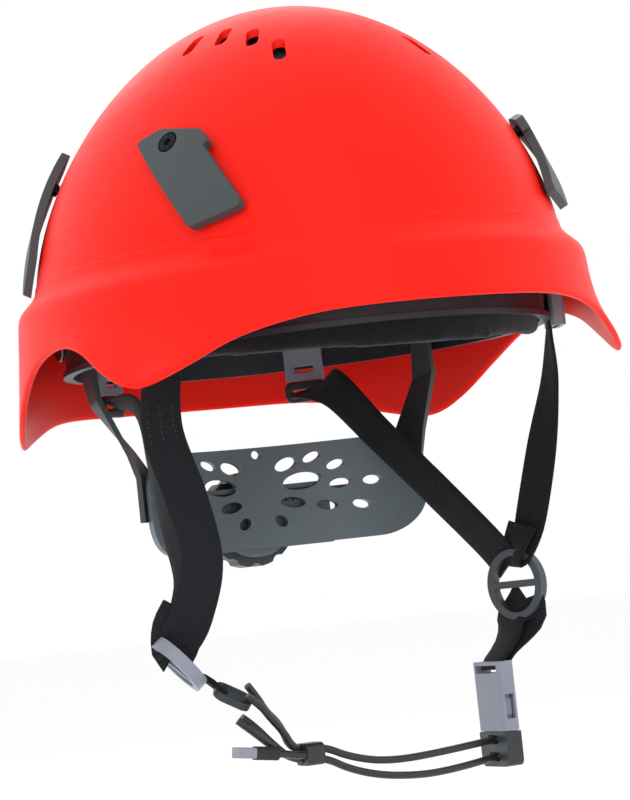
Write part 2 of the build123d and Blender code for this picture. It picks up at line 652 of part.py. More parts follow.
PLUG_TOP = SOCKET_MOUTH - BUCKLE_PLAY
CORD_HOLE_RADIUS = CORD_DIAMETER / 2 + CLEARANCE
UPPER_CORD_HOLE = PLUG_TOP - 3.0
LOWER_CORD_HOLE = PLUG_TOP - 9.8
PRONG_DEPTH = BUCKLE_THICKNESS - BUCKLE_WALL * 2 - BUCKLE_PLAY * 2
PRONG_MIDDLE = THROAT_HALF - BUCKLE_PLAY - PRONG_WIDTH / 2
with BuildPart() as buckle_plug:
    with BuildSketch(BUCKLE.offset(-BUCKLE_THICKNESS / 2)):
        with Locations((0, PLUG_TOP)):
            Rectangle(BUCKLE_WIDTH, PLUG_TOP - PLUG_BOTTOM, align=(Align.CENTER, Align.MAX))
    extrude(amount=BUCKLE_THICKNESS)
    fillet(buckle_plug.edges().filter_by(Axis.X).group_by(Axis.Z)[0], 3)
    with BuildSketch(BUCKLE.offset(-PRONG_DEPTH / 2)):
        with Locations((0, PLUG_TOP)):
            Rectangle(PRONG_WIDTH, PRONG_LENGTH, align=(Align.CENTER, Align.MIN))
    extrude(amount=PRONG_DEPTH)
    with BuildSketch(BUCKLE.offset(-BUCKLE_THICKNESS)):
        for height in (UPPER_CORD_HOLE, LOWER_CORD_HOLE):
            with Locations((0, height)):
                SlotOverall(CORD_DIAMETER * 3, CORD_HOLE_RADIUS * 2)
    extrude(amount=BUCKLE_THICKNESS * 2, mode=Mode.SUBTRACT)


def prong(side):
    """Sprung side arm of the plug, with a shoulder below its tip."""
    with BuildPart() as arm:
        with BuildSketch(BUCKLE.offset(-PRONG_DEPTH / 2)):
            with Locations((side * PRONG_MIDDLE, PLUG_TOP + BUCKLE_PLAY)):
                Rectangle(
                    PRONG_WIDTH * 0.6, PRONG_LENGTH, align=(Align.CENTER, Align.MIN)
                )
            with Locations((side * PRONG_MIDDLE, PLUG_TOP + PRONG_LENGTH * 0.65)):
                Rectangle(PRONG_WIDTH, PRONG_LENGTH * 0.45)
        extrude(amount=PRONG_DEPTH)
    return arm


prong_front = prong(-1)
prong_rear = prong(1)


# ---------------------------------------------------------------- elastic cords
def bend_radii(points):
    """Largest arcs that the runs leave room for: 0.45 of the shorter run over tan(half turn)."""
    radii = []
    for before, corner, after in zip(points, points[1:], points[2:]):
        first = Vector(*corner) - Vector(*before)
        second = Vector(*after) - Vector(*corner)
        half_turn = math.radians(first.get_angle(second)) / 2
        radii.append(0.45 * min(first.length, second.length) / math.tan(half_turn))
    return radii


def cord(name, points):
    """Round cord of straight runs joined by tangent arcs."""
    radii = bend_radii(points)
    print(name, "radii", [round(radius, 1) for radius in radii])
    with BuildPart() as tube:
        with BuildLine() as path:
            FilletPolyline(*points, radius=radii)
        start = path.line @ 0
        with BuildSketch(Plane(origin=start, z_dir=path.line % 0)):
            Circle(CORD_DIAMETER / 2)
        sweep()
    length = sum(edge.length for edge in path.edges())
    share = tube.part.volume / (math.pi * (CORD_DIAMETER / 2) ** 2 * length)
    print(name, "length", round(length, 1), "volume over section x length", round(share, 4))
    return tube


KEEPER_RIGHT = KEEPER_CENTRE[0] + KEEPER_SIZE[0] / 2
KEEPER_LEFT = KEEPER_CENTRE[0] - KEEPER_SIZE[0] / 2
PLUG_FACE = BUCKLE_CENTRE[0] - BUCKLE_THICKNESS / 2
UPPER_CORD_Z = BUCKLE_CENTRE[2] + UPPER_CORD_HOLE
LOWER_CORD_Z = BUCKLE_CENTRE[2] + LOWER_CORD_HOLE
CHIN_CORD_UPPER = [
    (KEEPER_RIGHT - KEEPER_GRIP, -30, -159.5), (KEEPER_RIGHT + KEEPER_RUN, -30, -159.5),
    (-12, -30, -165), (4, -29, -168.6), (28, -26.5, -168.2), (PLUG_FACE, -23, UPPER_CORD_Z),
]
CHIN_CORD_LOWER = [
    (KEEPER_RIGHT - KEEPER_GRIP, -30, -163.6), (KEEPER_RIGHT + KEEPER_RUN, -30, -163.6),
    (-12, -30, -170), (5, -29, -174.6), (30, -26.5, -176.2), (PLUG_FACE, -23, LOWER_CORD_Z),
]
FAN_STRANDS = [
    [(-57.5, -29.8, -145.5), (-52.5, -31, -150), (-45, -31.5, -157.0), (-31.3, -163.4)],
    [(-55.0, -28.3, -144.5), (-50, -28, -148.5), (-44, -28, -155.5), (-27.5, -163.2)],
    [(-54, -33.2, -136.5), (-48.6, -33.3, -141), (-44.8, -32, -146), (-40, -31.5, -151.5), (-31.3, -159.6)],
    [(-51, -27.6, -132.8), (-47, -26.5, -137.8), (-44, -26.2, -143.5), (-39.2, -27.5, -149.2), (-27.5, -159.4)],
]
PULL_CORD = [
    (KEEPER_LEFT + KEEPER_GRIP, -35.2, -161.5), (KEEPER_LEFT - KEEPER_RUN, -35.2, -161.5),
    (-40, -35.2, -160.4), (-44.5, -35.1, -159.6),
]
chin_cord_upper = cord("chin_cord_upper", CHIN_CORD_UPPER)
chin_cord_lower = cord("chin_cord_lower", CHIN_CORD_LOWER)
fan_cords = {}
for number, (*points, (y, z)) in enumerate(FAN_STRANDS, start=1):
    points.append((KEEPER_LEFT - KEEPER_RUN, y, z))
    points.append((KEEPER_LEFT + KEEPER_GRIP, y, z))
    fan_cords[f"loop_cord_{number}"] = cord(f"loop_cord_{number}", points)
pull_cord = cord("pull_cord", PULL_CORD)

with BuildPart() as cord_keeper:
    with Locations(KEEPER_CENTRE):
        Box(*KEEPER_SIZE)
    fillet(cord_keeper.edges().filter_by(Axis.X), 2.6)
    bores = [(KEEPER_RIGHT, *CHIN_CORD_UPPER[0][1:]), (KEEPER_RIGHT, *CHIN_CORD_LOWER[0][1:])]
    bores.append((KEEPER_LEFT, *PULL_CORD[0][1:]))
    bores += [(KEEPER_LEFT, *strand[-1]) for strand in FAN_STRANDS]
    for face, y, z in bores:
        inward = math.copysign(KEEPER_GRIP + CLEARANCE, KEEPER_CENTRE[0] - face)
        with BuildSketch(Plane.YZ.offset(face)):
            with Locations((y, z)):
                Circle(CORD_DIAMETER / 2 + RUNNING_FIT)
        extrude(amount=inward, mode=Mode.SUBTRACT)

SLEEVE_START = PULL_CORD[-1]
SLEEVE = Plane(origin=SLEEVE_START, x_dir=(0, -1, 0), z_dir=(-0.98, -0.05, 0.14))
SLEEVE_LENGTH = 10.0
SLEEVE_RADIUS = 2.6
TIP_LENGTH = 8.0
with BuildPart() as pull_sleeve:
    with BuildSketch(SLEEVE.offset(CLEARANCE)):
        Circle(SLEEVE_RADIUS)
    extrude(amount=SLEEVE_LENGTH)
with BuildPart() as pull_tip:
    with BuildSketch(SLEEVE.offset(SLEEVE_LENGTH + CLEARANCE)):
        RectangleRounded(SLEEVE_RADIUS * 2, SLEEVE_RADIUS * 1.6, 0.8)
    extrude(amount=TIP_LENGTH)

# ---------------------------------------------------------------- nape cradle
CRADLE_OUT = CRADLE_RADIUS + CRADLE_THICKNESS
CRADLE_BACK = CRADLE_AXIS_Y + CRADLE_OUT
CRADLE_MIDDLE_Z = (CRADLE_TOP + CRADLE_BOTTOM) / 2
# Oval holes: across, height, half width, half height, tilt. All but the first are mirrored.
CRADLE_HOLES = [
    (0.0, -42.0, 2.2, 1.8, 0), (12.5, -47.0, 5.0, 2.5, 18), (18.5, -54.5, 8.0, 3.5, 6),
    (14.0, -63.0, 5.2, 2.2, -8), (8.2, -70.2, 3.0, 2.2, -35), (23.5, -45.0, 4.0, 1.8, 20),
    (32.5, -49.0, 3.8, 1.8, 16), (33.5, -57.0, 4.2, 2.0, 4), (27.5, -65.5, 4.2, 2.0, -10),
    (45.0, -57.0, 3.4, 1.9, 0), (40.5, -66.5, 3.4, 1.8, -14),
]


def ring_sector(inner, outer, low, from_angle, to_angle):
    """Sketch of a curved strip round the cradle's axis, the angles counted from the rear to +X."""
    with BuildSketch(Plane.XY.offset(low)) as sector:
        with Locations((0, CRADLE_AXIS_Y)):
            Circle(outer)
            Circle(inner, mode=Mode.SUBTRACT)
        corners = [(0, CRADLE_AXIS_Y)]
        for share in (0, 0.5, 1):
            turn = math.radians(from_angle + (to_angle - from_angle) * share)
            reach = outer * 1.6
            corners.append((reach * math.sin(turn), CRADLE_AXIS_Y + reach * math.cos(turn)))
        with BuildLine():
            Polyline(*corners, close=True)
        make_face(mode=Mode.INTERSECT)
    return sector.sketch


with BuildPart() as nape_cradle:
    extrude(
        ring_sector(CRADLE_RADIUS, CRADLE_OUT, CRADLE_BOTTOM, -60, 60),
        amount=CRADLE_TOP - CRADLE_BOTTOM,
    )
    with BuildSketch(Plane.XZ.offset(-FAR / 4)):
        with Locations((0, CRADLE_MIDDLE_Z)):
            RectangleRounded(CRADLE_HALF_WIDTH * 2, CRADLE_TOP - CRADLE_BOTTOM, CRADLE_CORNER)
        for across, height, half_wide, half_high, tilt in CRADLE_HOLES:
            for side in (1, -1):
                with Locations((side * across, height)):
                    Ellipse(half_wide, half_high, rotation=side * tilt, mode=Mode.SUBTRACT)
    extrude(amount=FAR / 4, mode=Mode.INTERSECT)


# ---------------------------------------------------------------- hanger arms and pivot pins
def cradle_point(angle, radius, height):
    """Point round the cradle's axis, the angle counted from the rear towards +X."""
    turn = math.radians(angle)
    return (radius * math.sin(turn), CRADLE_AXIS_Y + radius * math.cos(turn), height)


def hanger_arm(side):
    """Flat arm from the pivot down to its foot on the back of the cradle."""
    radius = CRADLE_OUT + CLEARANCE + ARM_THICKNESS / 2
    turn = math.radians(ARM_FOOT_ANGLE)
    foot_across = (side * math.cos(turn), -math.sin(turn), 0)
    foot_x, foot_y, _ = cradle_point(side * ARM_FOOT_ANGLE, radius, 0)
    route = [
        ((side * ARM_X, PIVOT_Y, PIVOT_Z - ARM_EYE_RADIUS / 2), (0, -1, 0)),
        ((side * (ARM_X - 1.5), PIVOT_Y - 3, -16), (side * 0.12, -0.99, 0)),
        ((side * (foot_x * side + 4.0), foot_y + 2.0, -38), (side * 0.5, -0.86, 0)),
        ((foot_x, foot_y, -48), foot_across),
        ((foot_x, foot_y, -66), foot_across),
    ]
    with BuildPart() as arm:
        loft(web_sections(route, ARM_WIDTH, ARM_THICKNESS), ruled=True)
        with BuildSketch(Plane.YZ.offset(side * ARM_X - ARM_THICKNESS / 2)):
            with Locations((PIVOT_Y, PIVOT_Z)):
                Circle(ARM_EYE_RADIUS)
        extrude(amount=ARM_THICKNESS)
        with BuildSketch(Plane.YZ):
            with Locations((PIVOT_Y, PIVOT_Z)):
                Circle(PIN_RADIUS + RUNNING_FIT)
        extrude(amount=side * FAR, mode=Mode.SUBTRACT)
    return arm


def pivot_pin(side):
    """Pin through the headband and the eye of an arm, with a head at each end."""
    inner_head = ARM_X - ARM_THICKNESS / 2 - CLEARANCE
    band_x = HEADBAND_HALF_WIDTH * math.sqrt(1 - (PIVOT_Y / HEADBAND_HALF_LENGTH) ** 2)
    outer_head = band_x + HEADBAND_LIP
    with BuildPart() as pin:
        with BuildSketch(Plane.YZ.offset(side * (inner_head - 1.5))):
            with Locations((PIVOT_Y, PIVOT_Z)):
                Circle(PIN_HEAD_RADIUS)
        extrude(amount=side * 1.5)
        with BuildSketch(Plane.YZ.offset(side * inner_head)):
            with Locations((PIVOT_Y, PIVOT_Z)):
                Circle(PIN_RADIUS)
        extrude(amount=side * (outer_head - inner_head))
        with BuildSketch(Plane.YZ.offset(side * outer_head)):
            with Locations((PIVOT_Y, PIVOT_Z)):
                Circle(PIN_HEAD_RADIUS)
        extrude(amount=side * 1.5)
    return pin


# ---------------------------------------------------------------- ratchet
RACK_IN = CRADLE_OUT + CLEARANCE
RACK_OUT = RACK_IN + RACK_THICKNESS
CHANNEL_OUT = RACK_OUT + CLEARANCE
CHANNEL_HALF = PINION_RADIUS + RACK_HEIGHT + CLEARANCE * 3
HOUSING_OUT = CHANNEL_OUT + HOUSING_WALL
HOUSING_BACK = CRADLE_AXIS_Y + HOUSING_OUT + 3.5
HOUSING_ANGLE = math.degrees(math.asin(HOUSING_HALF_WIDTH / CRADLE_OUT))
STEM_RADIUS = 2.4
with BuildPart() as ratchet_housing:
    housing_low = KNOB_Z - CHANNEL_HALF - HOUSING_WALL
    extrude(
        ring_sector(
            CRADLE_OUT + CLEARANCE / 3, HOUSING_OUT, housing_low, -HOUSING_ANGLE, HOUSING_ANGLE
        ),
        amount=(CHANNEL_HALF + HOUSING_WALL) * 2,
    )
    with BuildSketch(Plane.XZ.offset(-(CRADLE_AXIS_Y + CHANNEL_OUT))):
        with Locations((0, KNOB_Z)):
            Circle(HOUSING_RADIUS)
    extrude(amount=-(HOUSING_BACK - CRADLE_AXIS_Y - CHANNEL_OUT))
    with BuildSketch(Plane.XY.offset(KNOB_Z - CHANNEL_HALF)):
        with Locations((0, CRADLE_AXIS_Y)):
            Circle(CHANNEL_OUT)
            Circle(CRADLE_OUT - 1, mode=Mode.SUBTRACT)
    extrude(amount=CHANNEL_HALF * 2, mode=Mode.SUBTRACT)
    with BuildSketch(Plane.XZ):
        with Locations((0, KNOB_Z)):
            Circle(STEM_RADIUS + RUNNING_FIT)
    extrude(amount=-FAR, mode=Mode.SUBTRACT)


def rack(side):
    """Toothed curved strip; the left one runs above the pinion, the right one below."""
    inner_edge = KNOB_Z + side * (PINION_RADIUS + CLEARANCE)
    outer_edge = inner_edge + side * RACK_HEIGHT
    with BuildPart() as strip:
        near, far = sorted((side * RACK_INNER_ANGLE, side * RACK_OUTER_ANGLE))
        extrude(
            ring_sector(RACK_IN + RUNNING_FIT, RACK_OUT, min(inner_edge, outer_edge), near, far),
            amount=RACK_HEIGHT,
        )
        with BuildSketch(Plane.XZ):
            for step in range(-4, 14):
                pitch = 2 * math.pi * PINION_RADIUS / PINION_TEETH
                with Locations((side * step * pitch, inner_edge)):
                    RegularPolygon(1.0, 4, rotation=45)
        extrude(amount=-FAR, mode=Mode.SUBTRACT)
    return strip


rack_left = rack(1)
rack_right = rack(-1)

with BuildPart() as drive_pinion:
    with BuildSketch(Plane.XZ.offset(-(CRADLE_AXIS_Y + RACK_IN + RUNNING_FIT))):
        with Locations((0, KNOB_Z)):
            Circle(PINION_RADIUS)
            Circle(STEM_RADIUS / 2 + RUNNING_FIT / 2, mode=Mode.SUBTRACT)
            with PolarLocations(PINION_RADIUS, PINION_TEETH):
                RegularPolygon(0.9, 4, mode=Mode.SUBTRACT)
    extrude(amount=-(RACK_THICKNESS - RUNNING_FIT))

KNOB_FRONT = HOUSING_BACK + CLEARANCE
with BuildPart() as ratchet_knob:
    with BuildSketch(Plane.XZ.offset(-KNOB_FRONT)):
        with Locations((0, KNOB_Z)):
            Circle(KNOB_RADIUS)
            with PolarLocations(KNOB_RADIUS + 1.6, KNOB_SCALLOPS):
                Circle(3.0, mode=Mode.SUBTRACT)
    extrude(amount=-KNOB_DEPTH)
    with BuildSketch(Plane.XZ.offset(-(CRADLE_AXIS_Y + RACK_OUT + RUNNING_FIT))):
        with Locations((0, KNOB_Z)):
            Circle(STEM_RADIUS)
    extrude(amount=-(KNOB_FRONT - CRADLE_AXIS_Y - RACK_OUT - RUNNING_FIT))
    with BuildSketch(Plane.XZ.offset(-(CRADLE_AXIS_Y + RACK_IN + RUNNING_FIT))):
        with Locations((0, KNOB_Z)):
            Circle(STEM_RADIUS / 2)
    extrude(amount=-RACK_THICKNESS)

# ---------------------------------------------------------------- every piece to its file
pieces = {
    "shell": shell,
    "crown_liner": crown_liner,
    "headband": headband,
    "brow_pad": brow_pad,
    "crown_strap_side": crown_strap_side,
    "crown_strap_long": crown_strap_long,
    "suspension_keys": suspension_keys,
    "divider_left": divider_left,
    "divider_right": divider_right,
    "loop_plate": loop_plate,
    "buckle_socket": buckle_socket,
    "buckle_plug": buckle_plug,
    "prong_front": prong_front,
    "prong_rear": prong_rear,
    "chin_cord_upper": chin_cord_upper,
    "chin_cord_lower": chin_cord_lower,
    "cord_keeper": cord_keeper,
    "pull_cord": pull_cord,
    "pull_sleeve": pull_sleeve,
    "pull_tip": pull_tip,
    "nape_cradle": nape_cradle,
    "ratchet_housing": ratchet_housing,
    "ratchet_knob": ratchet_knob,
    "drive_pinion": drive_pinion,
    "rack_left": rack_left,
    "rack_right": rack_right,
}
for place in CLIPS:
    pieces[f"lamp_clip_{place}"] = lamp_clips[place]
    pieces[f"clip_screw_{place}"] = clip_screws[place]
for name, side in (("left", 1), ("right", -1)):
    pieces[f"front_anchor_{name}"] = front_anchor(side)
    pieces[f"rear_anchor_{name}"] = rear_anchor(side)
    pieces[f"rear_tab_{name}"] = rear_tab(side)
    pieces[f"hanger_arm_{name}"] = hanger_arm(side)
    pieces[f"pivot_pin_{name}"] = pivot_pin(side)
pieces.update(straps)
pieces.update(fan_cords)

os.makedirs("parts", exist_ok=True)
for name, piece in pieces.items():
    piece.part.label = name
    export_step(piece.part, f"parts/{name}.step")
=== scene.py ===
import bmesh
import bpy
import json
import math
from mathutils import Matrix, Vector


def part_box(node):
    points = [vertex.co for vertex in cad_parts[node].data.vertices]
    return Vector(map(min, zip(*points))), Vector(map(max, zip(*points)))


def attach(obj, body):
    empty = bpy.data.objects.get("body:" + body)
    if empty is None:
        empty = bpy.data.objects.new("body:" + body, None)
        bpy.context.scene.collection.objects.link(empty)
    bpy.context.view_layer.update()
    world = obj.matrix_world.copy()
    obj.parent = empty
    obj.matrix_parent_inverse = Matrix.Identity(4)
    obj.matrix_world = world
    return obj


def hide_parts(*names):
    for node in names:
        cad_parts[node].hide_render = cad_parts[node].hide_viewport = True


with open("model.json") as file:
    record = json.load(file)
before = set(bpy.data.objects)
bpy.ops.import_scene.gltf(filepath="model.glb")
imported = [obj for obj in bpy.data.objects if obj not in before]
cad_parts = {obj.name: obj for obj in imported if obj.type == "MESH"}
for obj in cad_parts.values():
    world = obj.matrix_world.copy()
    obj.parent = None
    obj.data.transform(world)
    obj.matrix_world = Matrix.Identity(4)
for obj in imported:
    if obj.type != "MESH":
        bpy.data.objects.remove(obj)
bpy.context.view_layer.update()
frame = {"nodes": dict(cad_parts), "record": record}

# Arborist helmet, in metres. The front is -Y, the wearer's left is +X, up is +Z.
MM = 0.001


# ---------------------------------------------------------------- camera
def aim_camera():
    """Low three-quarter view from the wearer's right front, with the helmet rolled a little."""
    azimuth, elevation, roll = math.radians(-25.0), math.radians(-6.5), math.radians(-6.2)
    back = Vector((
        math.sin(azimuth) * math.cos(elevation),
        -math.cos(azimuth) * math.cos(elevation),
        math.sin(elevation),
    ))
    level = (-back).cross(Vector((0, 0, 1))).normalized()
    upright = level.cross(-back)
    right = level * math.cos(roll) + upright * math.sin(roll)
    up = upright * math.cos(roll) - level * math.sin(roll)
    forward = (-back + right * 0.00883 - up * 0.0592).normalized()
    right = (right - forward * right.dot(forward)).normalized()
    up = right.cross(forward)
    data = bpy.data.cameras.new("camera")
    data.lens = 140.6
    data.sensor_width = 36.0
    data.clip_end = 50.0
    camera = bpy.data.objects.new("camera", data)
    turn = Matrix((right, up, -forward)).transposed().to_4x4()
    camera.matrix_world = Matrix.Translation(Vector((0, 0, 50 * MM)) + back * 1.25) @ turn
    bpy.context.collection.objects.link(camera)
    bpy.context.scene.camera = camera


aim_camera()


# ---------------------------------------------------------------- materials
def linear(code):
    """sRGB hex colour as linear RGBA."""
    channels = []
    for start in (1, 3, 5):
        value = int(code[start:start + 2], 16) / 255
        channels.append(value / 12.92 if value <= 0.04045 else ((value + 0.055) / 1.055) ** 2.4)
    return (*channels, 1.0)


def add(tree, kind, inputs=None, **settings):
    """New node; an input value may be a number, a colour or another node's socket."""
    node = tree.nodes.new(kind)
    for name, value in settings.items():
        setattr(node, name, value)
    for name, value in (inputs or {}).items():
        if isinstance(value, bpy.types.NodeSocket):
            tree.links.new(value, node.inputs[name])
        else:
            node.inputs[name].default_value = value
    return node


def start_material(name, **sockets):
    """Material with its Principled shader's plain sockets set."""
    material = bpy.data.materials.new(name)
    material.use_nodes = True
    shader = material.node_tree.nodes["Principled BSDF"]
    for socket, value in sockets.items():
        shader.inputs[socket.replace("_", " ")].default_value = value
    return material, material.node_tree, shader


def per_mm(size):
    """Noise scale whose features are a size in millimetres across, on Object coordinates."""
    return 1.0 / (size * MM)


def mix_colours(tree, factor, low, high):
    """Colour that runs from low to high with a factor socket."""
    ramp = add(tree, "ShaderNodeValToRGB", {"Fac": factor})
    ramp.color_ramp.elements[0].color = linear(low)
    ramp.color_ramp.elements[1].color = linear(high)
    return ramp.outputs["Color"]


def moulded(name, low, high, roughness, grain_mm, grain_depth, coat=0.0, spread=0.06, gloss=0.5):
    """Injection-moulded thermoplastic: faint flow shade, fine spark-eroded grain, handling wear."""
    material, tree, shader = start_material(
        name, IOR=1.5, Specular_IOR_Level=gloss, Coat_Weight=coat, Coat_Roughness=0.2
    )
    place = add(tree, "ShaderNodeTexCoord").outputs["Object"]
    flow = add(tree, "ShaderNodeTexNoise", {"Vector": place, "Scale": per_mm(38), "Detail": 3.0})
    grain = add(
        tree, "ShaderNodeTexNoise", {"Vector": place, "Scale": per_mm(grain_mm), "Detail": 4.0}
    )
    scuff = add(tree, "ShaderNodeTexNoise", {"Vector": place, "Scale": per_mm(9), "Detail": 6.0})
    tree.links.new(mix_colours(tree, flow.outputs["Fac"], low, high), shader.inputs["Base Color"])
    rough = add(tree, "ShaderNodeMapRange", {
        "Value": scuff.outputs["Fac"], "From Min": 0.3, "From Max": 0.7,
        "To Min": roughness - spread, "To Max": roughness + spread,
    })
    tree.links.new(rough.outputs["Result"], shader.inputs["Roughness"])
    bump = add(tree, "ShaderNodeBump", {
        "Height": grain.outputs["Fac"], "Strength": 0.5, "Distance": grain_depth * MM,
    })
    tree.links.new(bump.outputs["Normal"], shader.inputs["Normal"])
    return material


def woven(name, low, high, thread_mm, depth_mm, roughness=0.82, sheen=0.35):
    """Plain-woven polyester webbing: picks across, warp cords along, dull with a soft sheen.

    The UV map is in millimetres, across the webbing and along it.
    """
    material, tree, shader = start_material(
        name, Sheen_Weight=sheen, Sheen_Roughness=0.5, IOR=1.5, Specular_IOR_Level=0.2
    )
    place = add(tree, "ShaderNodeUVMap", uv_map="cloth").outputs["UV"]
    across = add(
        tree, "ShaderNodeTexWave", {"Vector": place, "Scale": 0.314 / thread_mm},
        wave_type="BANDS", bands_direction="X",
    )
    along = add(
        tree, "ShaderNodeTexWave",
        {"Vector": place, "Scale": 0.314 / (thread_mm * 1.3), "Distortion": 0.6},
        wave_type="BANDS", bands_direction="Y",
    )
    weave = add(tree, "ShaderNodeMath", {0: across.outputs["Fac"], 1: along.outputs["Fac"]},
                operation="MULTIPLY")
    solid = add(tree, "ShaderNodeTexCoord").outputs["Object"]
    dust = add(tree, "ShaderNodeTexNoise", {"Vector": solid, "Scale": per_mm(14), "Detail": 5.0})
    shade = add(tree, "ShaderNodeMath", {0: weave.outputs[0], 1: dust.outputs["Fac"]},
                operation="MULTIPLY")
    tree.links.new(mix_colours(tree, shade.outputs[0], low, high), shader.inputs["Base Color"])
    rough = add(tree, "ShaderNodeMapRange", {
        "Value": dust.outputs["Fac"], "From Min": 0.3, "From Max": 0.7,
        "To Min": roughness - 0.08, "To Max": roughness + 0.08,
    })
    tree.links.new(rough.outputs["Result"], shader.inputs["Roughness"])
    bump = add(tree, "ShaderNodeBump", {
        "Height": weave.outputs[0], "Strength": 0.8, "Distance": depth_mm * MM,
    })
    tree.links.new(bump.outputs["Normal"], shader.inputs["Normal"])
    return material


def knitted(name, low, high, cell_mm, depth_mm):
    """Spacer knit over foam: small raised cells, matt."""
    material, tree, shader = start_material(
        name, Sheen_Weight=0.1, Sheen_Roughness=0.6, IOR=1.5, Specular_IOR_Level=0.2
    )
    place = add(tree, "ShaderNodeTexCoord").outputs["Object"]
    cells = add(tree, "ShaderNodeTexVoronoi", {"Vector": place, "Scale": per_mm(cell_mm)})
    cloud = add(tree, "ShaderNodeTexNoise", {"Vector": place, "Scale": per_mm(20), "Detail": 4.0})
    shade = add(tree, "ShaderNodeMath", {0: cells.outputs["Distance"], 1: cloud.outputs["Fac"]},
                operation="MULTIPLY")
    tree.links.new(mix_colours(tree, shade.outputs[0], high, low), shader.inputs["Base Color"])
    rough = add(tree, "ShaderNodeMapRange", {
        "Value": cloud.outputs["Fac"], "To Min": 0.8, "To Max": 0.98,
    })
    tree.links.new(rough.outputs["Result"], shader.inputs["Roughness"])
    bump = add(tree, "ShaderNodeBump", {
        "Height": cells.outputs["Distance"], "Strength": 0.9, "Distance": depth_mm * MM,
    }, invert=True)
    tree.links.new(bump.outputs["Normal"], shader.inputs["Normal"])
    return material


def bead_foam(name, low, high):
    """Moulded bead foam: flattened 3 mm beads with darker joints."""
    material, tree, shader = start_material(name, IOR=1.4, Specular_IOR_Level=0.3)
    place = add(tree, "ShaderNodeTexCoord").outputs["Object"]
    beads = add(
        tree, "ShaderNodeTexVoronoi", {"Vector": place, "Scale": per_mm(3.2)},
        feature="DISTANCE_TO_EDGE",
    )
    tree.links.new(
        mix_colours(tree, beads.outputs["Distance"], low, high), shader.inputs["Base Color"]
    )
    rough = add(tree, "ShaderNodeMapRange", {
        "Value": beads.outputs["Distance"], "To Min": 0.9, "To Max": 0.7,
    })
    tree.links.new(rough.outputs["Result"], shader.inputs["Roughness"])
    bump = add(tree, "ShaderNodeBump", {
        "Height": beads.outputs["Distance"], "Strength": 0.6, "Distance": 0.5 * MM,
    })
    tree.links.new(bump.outputs["Normal"], shader.inputs["Normal"])
    return material


def plated_steel(name, low, high):
    """Plated steel: finely turned, a little uneven."""
    material, tree, shader = start_material(name, Metallic=1.0)
    place = add(tree, "ShaderNodeTexCoord").outputs["Object"]
    cloud = add(tree, "ShaderNodeTexNoise", {"Vector": place, "Scale": per_mm(1.6), "Detail": 4.0})
    tree.links.new(
        mix_colours(tree, cloud.outputs["Fac"], low, high), shader.inputs["Base Color"]
    )
    rough = add(tree, "ShaderNodeMapRange", {
        "Value": cloud.outputs["Fac"], "To Min": 0.25, "To Max": 0.42,
    })
    tree.links.new(rough.outputs["Result"], shader.inputs["Roughness"])
    return material


def braided(name, low, high, pitch_mm):
    """Braided polyester sleeve of an elastic cord: slanting yarns, smooth and rather glossy."""
    material, tree, shader = start_material(
        name, IOR=1.5, Sheen_Weight=0.15, Coat_Weight=0.25, Coat_Roughness=0.3
    )
    place = add(tree, "ShaderNodeTexCoord").outputs["Object"]
    yarns = add(tree, "ShaderNodeTexWave", {
        "Vector": place, "Scale": 0.314 / (pitch_mm * MM), "Distortion": 1.5, "Detail": 1.0,
    }, wave_type="BANDS", bands_direction="DIAGONAL")
    tree.links.new(mix_colours(tree, yarns.outputs["Fac"], low, high), shader.inputs["Base Color"])
    rough = add(tree, "ShaderNodeMapRange", {
        "Value": yarns.outputs["Fac"], "To Min": 0.28, "To Max": 0.45,
    })
    tree.links.new(rough.outputs["Result"], shader.inputs["Roughness"])
    bump = add(tree, "ShaderNodeBump", {
        "Height": yarns.outputs["Fac"], "Strength": 0.35, "Distance": 0.08 * MM,
    })
    tree.links.new(bump.outputs["Normal"], shader.inputs["Normal"])
    return material


# Shell: moulded ABS, bright signal red, satin, with the faint ripple of a large moulding.
abs_red = moulded("abs_polished_red", "#F81A0E", "#FF2415", 0.42, 9.0, 0.02, spread=0.03, gloss=0.12)
# Lamp clips, hanger arms, left divider: glass-filled nylon, charcoal, spark-eroded, nearly matt.
nylon_charcoal = moulded("nylon_eroded_charcoal", "#333A3D", "#454B4F", 0.5, 0.5, 0.06)
# Headband: polyethylene, navy-black, satin.
polyethylene_navy = moulded("polyethylene_satin_navy", "#131A21", "#222C35", 0.42, 0.6, 0.05)
# Nape cradle and ratchet housing: polypropylene, slate grey, satin.
polypropylene_slate = moulded("polypropylene_satin_slate", "#4A555B", "#66737A", 0.4, 0.6, 0.04)
# Anchors, right divider, socket, prongs, keys and tip: acetal, light grey.
acetal_grey = moulded("acetal_light_grey", "#7C8090", "#9A9EAC", 0.36, 0.5, 0.03)
# Rear tabs, loop plate, keeper, knob, plug, pinion and racks: acetal, dark grey.
acetal_dark = moulded("acetal_dark_grey", "#1E2326", "#33393D", 0.38, 0.5, 0.04)
# Sleeve of the pull tab: thermoplastic rubber, black-brown, dull.
rubber_black = moulded("rubber_dull_black", "#1A1B1D", "#2B2C2F", 0.7, 0.4, 0.06, spread=0.1)
# Straps: plain-woven polyester webbing, black, and their thread.
polyester_webbing = woven("polyester_plain_weave_black", "#101216", "#34383E", 0.8, 0.14, sheen=0.08)
sewing_thread = moulded("polyester_thread_black", "#1C1F23", "#34383E", 0.7, 0.3, 0.05)
# Brow pad: spacer knit, black.
knit_pad = knitted("spacer_knit_black", "#07080A", "#15171A", 0.9, 0.25)
# Crown liner: moulded bead foam, grey.
foam_grey = bead_foam("bead_foam_grey", "#43474B", "#6F7478")
# Pivot pins: zinc-plated steel, cool grey. Clip screws: steel in black zinc.
steel_zinc = plated_steel("steel_zinc_plated", "#7C8084", "#A4A8AC")
steel_black = plated_steel("steel_black_zinc", "#15171A", "#2A2D31")
